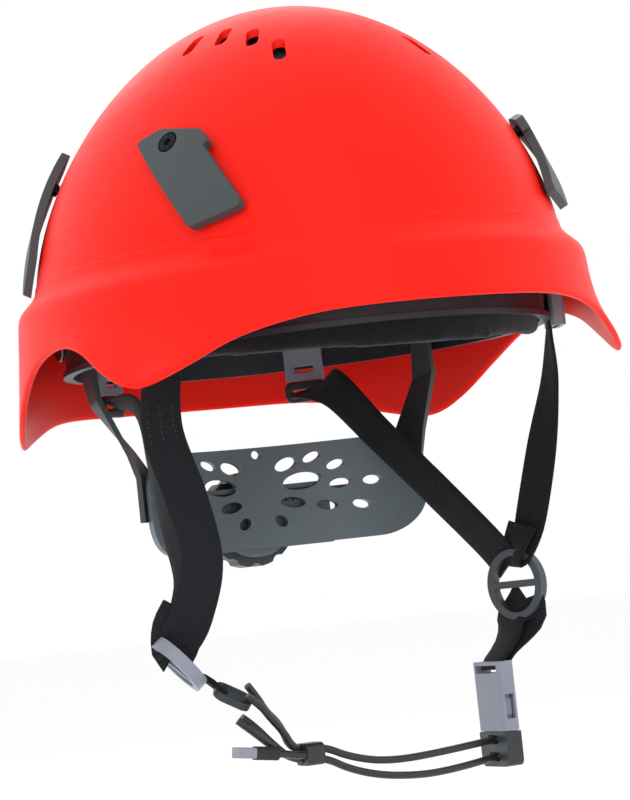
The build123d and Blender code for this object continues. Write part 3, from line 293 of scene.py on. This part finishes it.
# Cords: elastic in a braided polyester sleeve, black.
elastic_black = braided("elastic_braid_black", "#08090B", "#191B1F", 0.7)


# ---------------------------------------------------------------- making pieces
def new_piece(name, mesh, material, body, *nodes):
    """Object at the origin that rides on a body and stands for its nodes."""
    piece = bpy.data.objects.new(name, mesh)
    bpy.context.collection.objects.link(piece)
    mesh.materials.append(material)
    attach(piece, body)
    if nodes:
        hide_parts(*nodes)
    return piece


def finish_mesh(work, name, angle=math.radians(35)):
    """Mesh from a bmesh, smooth except at edges sharper than an angle."""
    for face in work.faces:
        face.smooth = True
    for edge in work.edges:
        if len(edge.link_faces) == 2 and edge.calc_face_angle(0) > angle:
            edge.smooth = False
    mesh = bpy.data.meshes.new(name)
    work.to_mesh(mesh)
    work.free()
    return mesh


def body_of(node):
    """Name of the body that a node belongs to."""
    for body, nodes in frame["record"]["behaviour"]["bodies"].items():
        if node in nodes:
            return body
    return None


def eased_copy(node, width, segments):
    """Copy of a CAD node with its sharp edges rounded, as a mould's are."""
    sharp = math.radians(35)
    work = bmesh.new()
    work.from_mesh(frame["nodes"][node].data)
    bmesh.ops.remove_doubles(work, verts=work.verts, dist=0.01 * MM)
    bmesh.ops.dissolve_limit(
        work, angle_limit=math.radians(1.0), verts=work.verts, edges=work.edges
    )
    edges = []
    for edge in work.edges:
        if len(edge.link_faces) == 2 and edge.calc_face_angle(0) > sharp:
            if edge.calc_length() > width * 0.5:
                edges.append(edge)
    bmesh.ops.bevel(
        work, geom=edges, offset=width, offset_type="OFFSET", affect="EDGES",
        segments=segments, profile=0.5, material=-1, clamp_overlap=True,
    )
    bmesh.ops.triangulate(work, faces=[face for face in work.faces if len(face.verts) > 4])
    return work


def eased_piece(node, width, material, segments=2):
    """Rounded piece that stands for a CAD node."""
    mesh = finish_mesh(eased_copy(node, width, segments), node + "_eased")
    piece = new_piece(node + "_eased", mesh, material, body_of(node), node)
    even = piece.modifiers.new("even", "WEIGHTED_NORMAL")
    even.keep_sharp = True
    return piece


# ---------------------------------------------------------------- cords
CORD = 3.0 * MM
# In millimetres. The two chin cords run from the keeper to the buckle, the loop cords from the plate.
CORD_ROUTES = {
    "chin_cord_upper": [
        (-28.25, -30, -159.5), (-23.25, -30, -159.5), (-12, -30, -165), (4, -29, -168.6),
        (28, -26.5, -168.2), (54, -23, -166.3),
    ],
    "chin_cord_lower": [
        (-28.25, -30, -163.6), (-23.25, -30, -163.6), (-12, -30, -170), (5, -29, -174.6),
        (30, -26.5, -176.2), (54, -23, -173.1),
    ],
    "loop_cord_1": [
        (-57.5, -29.8, -145.5), (-52.5, -31, -150), (-45, -31.5, -157),
        (-35.75, -31.3, -163.4), (-30.75, -31.3, -163.4),
    ],
    "loop_cord_2": [
        (-55, -28.3, -144.5), (-50, -28, -148.5), (-44, -28, -155.5),
        (-35.75, -27.5, -163.2), (-30.75, -27.5, -163.2),
    ],
    "loop_cord_3": [
        (-54, -33.2, -136.5), (-48.6, -33.3, -141), (-44.8, -32, -146), (-40, -31.5, -151.5),
        (-35.75, -31.3, -159.6), (-30.75, -31.3, -159.6),
    ],
    "loop_cord_4": [
        (-51, -27.6, -132.8), (-47, -26.5, -137.8), (-44, -26.2, -143.5), (-39.2, -27.5, -149.2),
        (-35.75, -27.5, -159.4), (-30.75, -27.5, -159.4),
    ],
    "pull_cord": [
        (-30.75, -35.2, -161.5), (-35.75, -35.2, -161.5), (-40, -35.2, -160.4),
        (-44.5, -35.1, -159.6),
    ],
}


def elastic_cord(name, points):
    """Round elastic cord on one smooth curve."""
    curve = bpy.data.curves.new(name + "_line", "CURVE")
    curve.dimensions = "3D"
    curve.bevel_depth = CORD / 2
    curve.bevel_resolution = 4
    curve.resolution_u = 12
    curve.use_fill_caps = True
    line = curve.splines.new("NURBS")
    line.points.add(len(points) - 1)
    for place, point in zip(line.points, points):
        place.co = (*(Vector(point) * MM), 1.0)
    line.order_u = 3
    line.use_endpoint_u = True
    return new_piece(name + "_line", curve, elastic_black, "helmet", name)


cords = {name: elastic_cord(name, points) for name, points in CORD_ROUTES.items()}


# ---------------------------------------------------------------- shell
# In millimetres: the dome's foot lies this far in front of the middle, and 99 mm to its side.
FOOT = 128.5
WIDTH_RATIO = 99.0 / FOOT
LEDGE = 27.0                  # foot of the dome above the brow edge
CROWN = 132.0                 # top of the dome above the brow edge
DOME_POWER = 1.6
SKIRT_TOP = LEDGE - 8.4       # outer edge of the ledge, where the skirt starts
VENTS = [(-44.9, -27.3), (-37.5, -40.0), (-32.0, -54.5), (-29.0, -70.5)]
# Side line of the rim, front to rear: brow, temple lobe, ear notch, rear lobe, nape.
RIM = [
    (-160, 0), (-128, -0.5), (-104, -6), (-84, -15), (-68, -19), (-52, -12), (-38, -3),
    (-22, 1.5), (-4, 1), (16, -4), (38, -14), (58, -25), (75, -31), (95, -27), (118, -19),
    (140, -17), (160, -17),
]


def rim_height(y):
    """Height of the rim at a place along the helmet, in millimetres."""
    for before, after, later, last in zip([RIM[0]] + RIM, RIM, RIM[1:], RIM[2:] + [RIM[-1]]):
        if after[0] <= y <= later[0]:
            t = (y - after[0]) / (later[0] - after[0])
            slope_in = (later[1] - before[1]) / 2
            slope_out = (last[1] - after[1]) / 2
            return (
                after[1] * (1 - 3 * t**2 + 2 * t**3) + later[1] * (3 * t**2 - 2 * t**3)
                + slope_in * (t - 2 * t**2 + t**3) + slope_out * (t**3 - t**2)
            )
    return RIM[-1][1]


def shell_profile():
    """Side line of the outer face: crown to the foot of the dome, ledge, skirt."""
    line = [(0.0, CROWN)]
    for step in range(1, 27):
        share = math.sin(math.pi / 2 * step / 27 * 0.985)
        rise = (1.0 - share**2) ** (1.0 / DOME_POWER)
        line.append((FOOT * share, LEDGE + (CROWN - LEDGE) * rise))
    line += [(FOOT, LEDGE + 5.5), (FOOT + 0.4, LEDGE + 2.5), (FOOT + 1.6, LEDGE + 0.6)]
    line += [(FOOT + 4.0, LEDGE - 1.6), (FOOT + 7.0, LEDGE - 3.8), (FOOT + 9.2, LEDGE - 5.8)]
    line += [(FOOT + 10.3, SKIRT_TOP)]
    skirt = len(line)
    for step in range(1, 13):
        line.append((FOOT + 10.4 + 3.0 * step / 12, SKIRT_TOP - step))
    return line, skirt


def shell_mesh():
    """Outer face spun round, then drawn to the oval, the waved rim and the flared lobes."""
    line, skirt = shell_profile()
    work = bmesh.new()
    row = work.verts.layers.int.new("row")
    chain = [work.verts.new((r * MM, 0, z * MM)) for r, z in line]
    for index, vert in enumerate(chain):
        vert[row] = index
    edges = [work.edges.new(pair) for pair in zip(chain, chain[1:])]
    bmesh.ops.spin(
        work, geom=chain + edges, cent=(0, 0, 0), axis=(0, 0, 1), dvec=(0, 0, 0),
        angle=math.tau, steps=160, use_merge=True,
    )
    bmesh.ops.remove_doubles(work, verts=work.verts, dist=0.02 * MM)
    last = len(line) - 1
    for vert in work.verts:
        if vert[row] >= skirt - 1:
            down = (vert[row] - skirt + 1) / (last - skirt + 1)
            y = vert.co.y / MM
            side = abs(vert.co.x / MM) * WIDTH_RATIO
            angle = math.degrees(math.atan2(side, -y))
            temple = math.exp(-((angle - 55) / 17) ** 2)
            rear = math.exp(-((angle - 137) / 22) ** 2)
            brow = math.exp(-((angle / 30) ** 2))
            out = 11.0 * temple * down**3
            out += (3.5 * rear + 1.5 * brow) * down**1.5
            stretch = 1.0 + out / math.hypot(vert.co.x / MM, y)
            vert.co.x *= stretch
            vert.co.y *= stretch
            vert.co.z = (SKIRT_TOP + (rim_height(y) - SKIRT_TOP) * down) * MM
        vert.co.x *= WIDTH_RATIO
    bmesh.ops.recalc_face_normals(work, faces=work.faces)
    if max(work.faces, key=lambda face: face.calc_center_median().z).normal.z < 0:
        bmesh.ops.reverse_faces(work, faces=work.faces)
    return finish_mesh(work, "shell_moulding", math.radians(80))


def vent_cutters():
    """Upright slots through the crown that splay from its middle."""
    work = bmesh.new()
    for x, y in VENTS:
        for side in (1, -1):
            turn = Matrix.Rotation(math.atan2(y, side * x), 4, "Z")
            place = Matrix.Translation(Vector((side * x, y, 110)) * MM)
            size = Matrix.Diagonal((12 * MM, 5 * MM, 60 * MM, 1))
            made = bmesh.ops.create_cube(work, size=1.0, matrix=place @ turn @ size)
            upright = [
                edge for edge in {e for v in made["verts"] for e in v.link_edges}
                if abs(edge.verts[0].co.z - edge.verts[1].co.z) > 30 * MM
            ]
            bmesh.ops.bevel(
                work, geom=upright, offset=2.3 * MM, offset_type="OFFSET", affect="EDGES",
                segments=5, profile=0.5, material=-1,
            )
    mesh = bpy.data.meshes.new("vent_cutters")
    work.to_mesh(mesh)
    work.free()
    return bpy.data.objects.new("vent_cutters", mesh)


def apply_modifiers(piece):
    """The piece's mesh becomes what its modifiers make of it."""
    bpy.context.view_layer.update()
    graph = bpy.context.evaluated_depsgraph_get()
    made = bpy.data.meshes.new_from_object(piece.evaluated_get(graph))
    piece.modifiers.clear()
    piece.data = made


def make_shell():
    shell = new_piece("shell_moulding", shell_mesh(), abs_red, "helmet", "shell")
    wall = shell.modifiers.new("wall", "SOLIDIFY")
    wall.thickness = 2.6 * MM
    wall.offset = -1.0
    wall.use_even_offset = True
    round_off = shell.modifiers.new("round", "SUBSURF")
    round_off.levels = round_off.render_levels = 1
    cutters = vent_cutters()
    bpy.context.collection.objects.link(cutters)
    vents = shell.modifiers.new("vents", "BOOLEAN")
    vents.operation = "DIFFERENCE"
    vents.solver = "EXACT"
    vents.object = cutters
    apply_modifiers(shell)
    bpy.data.objects.remove(cutters)
    shell.data.shade_smooth()
    work = bmesh.new()
    work.from_mesh(shell.data)
    for edge in work.edges:
        if len(edge.link_faces) == 2 and edge.calc_face_angle(0) > math.radians(50):
            edge.smooth = False
    work.to_mesh(shell.data)
    work.free()


make_shell()


# ---------------------------------------------------------------- webbing
def along_route(stops, step):
    """Frames along a smooth line through the stops: place, across, out of the face, run."""
    points = [Vector(point) for point, across in stops]
    wides = [Vector(across).normalized() for point, across in stops]
    dense = []
    for index in range(len(points) - 1):
        p = [points[max(index - 1, 0)], points[index], points[index + 1],
             points[min(index + 2, len(points) - 1)]]
        w = [wides[max(index - 1, 0)], wides[index], wides[index + 1],
             wides[min(index + 2, len(points) - 1)]]
        count = max(int((p[2] - p[1]).length / step), 2)
        for part in range(count):
            t = part / count
            blend = (
                (-t + 2 * t**2 - t**3) / 2, (2 - 5 * t**2 + 3 * t**3) / 2,
                (t + 4 * t**2 - 3 * t**3) / 2, (t**3 - t**2) / 2,
            )
            dense.append((
                sum((a * b for a, b in zip(p, blend)), Vector()),
                sum((a * b for a, b in zip(w, blend)), Vector()),
            ))
    dense.append((points[-1], wides[-1]))
    frames = []
    run = 0.0
    for index, (place, wide) in enumerate(dense):
        before = dense[max(index - 1, 0)][0]
        after = dense[min(index + 1, len(dense) - 1)][0]
        ahead = (after - before).normalized()
        wide = (wide - ahead * wide.dot(ahead)).normalized()
        if index:
            run += (place - dense[index - 1][0]).length
        frames.append((place, wide, ahead.cross(wide), run))
    return frames


def webbing_mesh(name, stops, width, thickness):
    """Closed woven band with rounded selvedges; its UV map is in millimetres."""
    frames = along_route(stops, 2.5)
    work = bmesh.new()
    cloth = work.loops.layers.uv.new("cloth")
    at = work.verts.layers.float_vector.new("at")
    half, rise = width / 2, thickness / 2
    section = []
    for share in (-0.9, -0.45, 0.0, 0.45, 0.9):
        section.append((share * half, rise * (1.0 - 0.12 * share**2)))
    section.append((half, rise * 0.35))
    section.append((half, -rise * 0.35))
    for share in (0.9, 0.45, 0.0, -0.45, -0.9):
        section.append((share * half, -rise * (1.0 - 0.12 * share**2)))
    section += [(-half, -rise * 0.35), (-half, rise * 0.35)]
    ring = [work.verts.new((0, 0, 0)) for _ in section]
    edges = [work.edges.new((ring[i - 1], ring[i])) for i in range(len(ring))]
    first = edges
    for index, (place, wide, out, run) in enumerate(frames):
        if index:
            made = bmesh.ops.extrude_edge_only(work, edges=edges)["geom"]
            fresh = [item for item in made if isinstance(item, bmesh.types.BMVert)]
            ring = [
                next(v for v in (e.other_vert(old) for e in old.link_edges) if v in fresh)
                for old in ring
            ]
            edges = [work.edges.get((ring[i - 1], ring[i])) for i in range(len(ring))]
        for vert, (x, y) in zip(ring, section):
            vert.co = (place + wide * x + out * y) * MM
            vert[at] = (x, run, y)
    for loop in (first, edges):
        bmesh.ops.contextual_create(work, geom=loop)
    for face in work.faces:
        for corner in face.loops:
            corner[cloth].uv = (corner.vert[at][0], corner.vert[at][1])
    bmesh.ops.recalc_face_normals(work, faces=work.faces)
    return finish_mesh(work, name, math.radians(60))


def stitches(name, stops, rows, from_run, to_run, lift, body, pitch=2.4):
    """Rows of thread stitches on the webbing's face, each a small rounded bar."""
    frames = along_route(stops, 0.6)
    work = bmesh.new()
    for row in rows:
        run = from_run
        while run < to_run:
            place, wide, out, _ = min(frames, key=lambda item: abs(item[3] - run))
            ahead = wide.cross(out)
            for face in (1, -1):
                spot = (place + wide * row + out * lift * face) * MM
                turn = Matrix((ahead, wide, out)).transposed().to_4x4()
                size = Matrix.Diagonal((1.7 * MM, 0.5 * MM, 0.4 * MM, 1))
                bmesh.ops.create_icosphere(
                    work, subdivisions=1, radius=0.5,
                    matrix=Matrix.Translation(spot) @ turn @ size,
                )
            run += pitch
    return new_piece(name, finish_mesh(work, name), sewing_thread, body)


# Each stop is the middle of the webbing and the direction across it, in millimetres.
FRONT_LEFT = [
    ((82.1, -54.6, 4.0), (-0.45, -0.89, 0)), ((82.3, -54.4, -8.0), (-0.42, -0.9, 0)),
    ((83.5, -48.5, -27.0), (-0.1, -0.99, 0)), ((80.0, -41.5, -54.0), (0.3, -0.95, 0)),
    ((74.5, -37.0, -80.0), (0.35, -0.93, 0)), ((71.0, -35.3, -91.5), (0.15, -0.98, 0)),
    ((68.2, -33.0, -98.5), (-0.2, -0.97, 0)), ((66.2, -32.8, -97.0), (-0.2, -0.97, 0)),
    ((67.2, -34.8, -90.0), (0.15, -0.98, 0)), ((70.6, -36.2, -83.0), (0.35, -0.93, 0)),
]
FRONT_RIGHT = [
    ((-82.1, -54.6, 4.0), (0.55, -0.83, 0)), ((-82.8, -54.3, -8.0), (0.6, -0.8, 0)),
    ((-84.5, -51.5, -34.0), (0.75, -0.65, 0)), ((-78.0, -52.4, -61.0), (0.85, -0.5, 0)),
    ((-72.5, -47.5, -84.0), (0.75, -0.6, 0)), ((-73.5, -34.5, -104.0), (0.7, -0.65, 0.2)),
    ((-76.5, -28.0, -112.5), (0.7, -0.65, 0.2)), ((-78.2, -26.2, -117.5), (0.65, -0.7, 0.0)),
    ((-79.6, -24.6, -116.0), (0.65, -0.7, 0.1)), ((-78.8, -26.4, -108.5), (0.7, -0.65, 0.2)),
    ((-76.2, -31.5, -101.5), (0.7, -0.65, 0.2)),
]
REAR_LEFT = [
    ((45.5, 94.5, -14.6), (0.77, -0.6, 0.2)), ((42.5, 88.0, -16.0), (0.77, -0.6, 0.2)),
    ((38.5, 57.5, -16.5), (0.4, -0.5, 0.75)), ((45.0, 30.0, -39.5), (0.15, -0.6, 0.78)),
    ((55.0, 0.0, -67.5), (0.1, -0.6, 0.78)), ((62.5, -21.5, -88.5), (0.1, -0.7, 0.7)),
    ((65.8, -29.5, -98.5), (0.2, -0.8, 0.55)),
]
REAR_RIGHT = [
    ((-45.5, 94.5, -14.6), (-0.77, -0.6, 0.2)), ((-42.5, 88.0, -16.0), (-0.77, -0.6, 0.2)),
    ((-53.0, 48.0, -22.5), (-0.2, -0.3, 0.9)), ((-66.0, 8.0, -37.0), (0.0, -0.5, 0.85)),
    ((-73.0, -20.0, -64.0), (0.1, -0.8, 0.55)), ((-70.5, -25.0, -90.0), (0.2, -0.95, 0.1)),
    ((-71.5, -21.5, -107.0), (0.5, -0.8, 0.1)), ((-75.5, -21.5, -116.5), (0.5, -0.75, -0.2)),
]
LOWER_LEFT = [
    ((69.2, -35.2, -112.5), (0.5, -0.85, 0)), ((67.2, -32.0, -115.0), (0.4, -0.9, 0)),
    ((64.2, -29.8, -119.0), (0.25, -0.95, 0)), ((63.4, -28.6, -124.5), (0.1, -0.99, 0)),
    ((61.2, -25.6, -130.5), (0.0, -1, 0)), ((57.4, -23.2, -136.0), (0.0, -1, 0)),
    ((56.6, -23.0, -138.6), (0.0, -1, 0)),
]
LOWER_LEFT_TAIL = [
    ((69.0, -35.4, -112.0), (0.5, -0.85, 0)), ((70.2, -35.2, -117.5), (0.4, -0.9, 0)),
    ((67.6, -30.6, -124.5), (0.15, -0.98, 0)), ((64.0, -26.2, -130.5), (0.0, -1, 0)),
    ((61.0, -23.4, -135.5), (0.0, -1, 0)), ((58.4, -23.0, -138.6), (0.0, -1, 0)),
]
LOWER_RIGHT = [
    ((-70.0, -21.0, -126.5), (0.35, 0.9, -0.2)), ((-66.0, -23.6, -128.6), (0.25, 0.95, -0.1)),
    ((-62.8, -26.4, -132.2), (0.2, 0.98, 0.0)), ((-60.4, -27.2, -135.0), (0.2, 0.98, 0.0)),
]
WEB = 16.0
THICK = 1.5
for node, stops in (
    ("strap_front_left", FRONT_LEFT), ("strap_front_right", FRONT_RIGHT),
    ("strap_rear_left", REAR_LEFT), ("strap_rear_right", REAR_RIGHT),
):
    new_piece(node + "_web", webbing_mesh(node + "_web", stops, WEB, THICK), polyester_webbing,
              "helmet", node)
new_piece("strap_lower_left_web", webbing_mesh("strap_lower_left_web", LOWER_LEFT, WEB, THICK),
          polyester_webbing, "helmet", "strap_lower_left")
new_piece("strap_lower_left_tail",
          webbing_mesh("strap_lower_left_tail", LOWER_LEFT_TAIL, WEB, THICK),
          polyester_webbing, "helmet")
new_piece("strap_lower_right_web", webbing_mesh("strap_lower_right_web", LOWER_RIGHT, 8.0, 2.4),
          polyester_webbing, "helmet", "strap_lower_right")
stitches("stitches_front_left", FRONT_LEFT, (-5.0, 0.0, 5.0), 26.0, 40.0, 0.8, "helmet")
stitches("stitches_front_right", FRONT_RIGHT, (-5.0, 0.0, 5.0), 30.0, 44.0, 0.8, "helmet")
stitches("stitches_rear_left", REAR_LEFT, (-5.5, 5.5), 10.0, 26.0, 0.8, "helmet")
stitches("stitches_rear_right", REAR_RIGHT, (-5.5, 5.5), 10.0, 26.0, 0.8, "helmet")


def crown_arch(node, half_span, rise, lengthways):
    """Webbing arch inside the crown that stands on two suspension keys."""
    stops = []
    for step in range(25):
        turn = math.pi * step / 24
        side, height = half_span * math.cos(turn), 13.5 + rise * math.sin(turn)
        place = (0, side, height) if lengthways else (side, 0, height)
        stops.append((place, (1, 0, 0) if lengthways else (0, 1, 0)))
    mesh = webbing_mesh(node + "_web", stops, 19.5, 1.5)
    new_piece(node + "_web", mesh, polyester_webbing, "helmet", node)


side_box, long_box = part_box("crown_strap_side"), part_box("crown_strap_long")
crown_arch("crown_strap_side", side_box[1][0] / MM - 0.8, side_box[1][2] / MM - 14.3, False)
crown_arch("crown_strap_long", long_box[1][1] / MM - 0.8, long_box[1][2] / MM - 14.3, True)


# ---------------------------------------------------------------- brow pad
PAD_MIDDLE_Z = -2 * MM
PAD_HALF_SPAN = 78 * MM
PUFF_LIMIT = 0.8 * MM         # the cover never moves further than this


def brow_cushion():
    """Foam sweat pad, blown up a little inside its cover by a short cloth simulation."""
    work = bmesh.new()
    work.from_mesh(frame["nodes"]["brow_pad"].data)
    bmesh.ops.remove_doubles(work, verts=work.verts, dist=0.01 * MM)
    for vert in work.verts:
        inward = Vector((-vert.co.x, -vert.co.y, 0)).normalized()
        vert.co.z = PAD_MIDDLE_Z + (vert.co.z - PAD_MIDDLE_Z) * 0.9
        drop = 5.0 * MM * math.cos(math.pi / 2 * min(abs(vert.co.x) / PAD_HALF_SPAN, 1.0))
        if vert.co.z < PAD_MIDDLE_Z:
            vert.co.z -= drop - 4.0 * MM
        vert.co += inward * 0.4 * MM
    pad = new_piece("brow_cushion", finish_mesh(work, "brow_cushion"), knit_pad, "helmet",
                    "brow_pad")
    mesher = pad.modifiers.new("remesh", "REMESH")
    mesher.mode = "VOXEL"
    mesher.voxel_size = 2.6 * MM
    apply_modifiers(pad)
    start = [vert.co.copy() for vert in pad.data.vertices]
    cloth = pad.modifiers.new("cloth", "CLOTH")
    cloth.settings.use_pressure = True
    cloth.settings.uniform_pressure_force = 4.0
    cloth.settings.effector_weights.gravity = 0.0
    cloth.settings.quality = 5
    for moment in range(1, 21):
        bpy.context.scene.frame_set(moment)
    apply_modifiers(pad)
    bpy.context.scene.frame_set(1)
    for vert, old in zip(pad.data.vertices, start):
        move = vert.co - old
        if move.length > PUFF_LIMIT:
            vert.co = old + move.normalized() * PUFF_LIMIT
    smooth = pad.modifiers.new("smooth", "SUBSURF")
    smooth.levels = smooth.render_levels = 1
    apply_modifiers(pad)
    pad.data.shade_smooth()


brow_cushion()


# ---------------------------------------------------------------- moulded pieces
for place in ("front_left", "front_right", "rear_left", "rear_right"):
    eased_piece("lamp_clip_" + place, 1.0 * MM, nylon_charcoal)
    eased_piece("clip_screw_" + place, 0.25 * MM, steel_black)
for side in ("left", "right"):
    eased_piece("front_anchor_" + side, 0.5 * MM, acetal_grey)
    eased_piece("rear_anchor_" + side, 0.4 * MM, acetal_grey)
    eased_piece("rear_tab_" + side, 0.5 * MM, acetal_dark)
    eased_piece("hanger_arm_" + side, 0.5 * MM, nylon_charcoal)
    eased_piece("pivot_pin_" + side, 0.4 * MM, steel_zinc)
eased_piece("divider_left", 1.1 * MM, nylon_charcoal, segments=3)
eased_piece("divider_right", 1.1 * MM, acetal_grey, segments=3)
eased_piece("loop_plate", 0.7 * MM, acetal_dark)
eased_piece("cord_keeper", 0.5 * MM, acetal_dark)
eased_piece("pull_tip", 0.6 * MM, acetal_grey)
eased_piece("nape_cradle", 0.7 * MM, polypropylene_slate)
eased_piece("ratchet_housing", 1.0 * MM, polypropylene_slate)
eased_piece("ratchet_knob", 1.2 * MM, acetal_dark, segments=3)
eased_piece("prong_front", 0.4 * MM, acetal_grey)
eased_piece("prong_rear", 0.4 * MM, acetal_grey)
eased_piece("buckle_socket", 0.7 * MM, acetal_grey, segments=3)
eased_piece("buckle_plug", 0.7 * MM, acetal_dark, segments=3)

for node, material in (
    ("crown_liner", foam_grey), ("headband", polyethylene_navy), ("suspension_keys", acetal_grey),
    ("pull_sleeve", rubber_black), ("drive_pinion", acetal_dark), ("rack_left", acetal_dark),
    ("rack_right", acetal_dark),
):
    kept = frame["nodes"][node]
    kept.data.materials.clear()
    kept.data.materials.append(material)


# ---------------------------------------------------------------- floor, light
def studio():
    """Plain pale floor and soft light all round."""
    work = bmesh.new()
    bmesh.ops.create_circle(
        work, cap_ends=True, segments=96, radius=8.0,
        matrix=Matrix.Translation(Vector((0, 0, -0.26))),
    )
    mesh = bpy.data.meshes.new("floor")
    work.to_mesh(mesh)
    work.free()
    floor = bpy.data.objects.new("floor", mesh)
    bpy.context.collection.objects.link(floor)
    paint, _, shader = start_material("matt_emulsion_white", Roughness=0.9)
    shader.inputs["Base Color"].default_value = linear("#FCFCFC")
    mesh.materials.append(paint)
    world = bpy.data.worlds.new("studio")
    world.use_nodes = True
    background = world.node_tree.nodes["Background"]
    background.inputs["Color"].default_value = linear("#FFFFFF")
    background.inputs["Strength"].default_value = 1.0
    bpy.context.scene.world = world
    bpy.context.scene.view_settings.view_transform = "Standard"
    for name, place, size, power in (
        ("key", (-0.9, -1.5, 1.2), 1.2, 4.0), ("fill", (1.5, -0.8, 0.5), 1.0, 1.5),
        ("back", (0.4, 1.4, 1.0), 1.0, 3.0), ("low", (-0.5, -1.2, -0.15), 0.8, 1.0),
    ):
        data = bpy.data.lights.new(name, "AREA")
        data.shape = "DISK"
        data.size = size
        data.energy = power
        lamp = bpy.data.objects.new(name, data)
        aim = (Vector((0, 0, 0)) - Vector(place)).to_track_quat("-Z", "Y")
        lamp.matrix_world = Matrix.Translation(Vector(place)) @ aim.to_matrix().to_4x4()
        bpy.context.collection.objects.link(lamp)


studio()
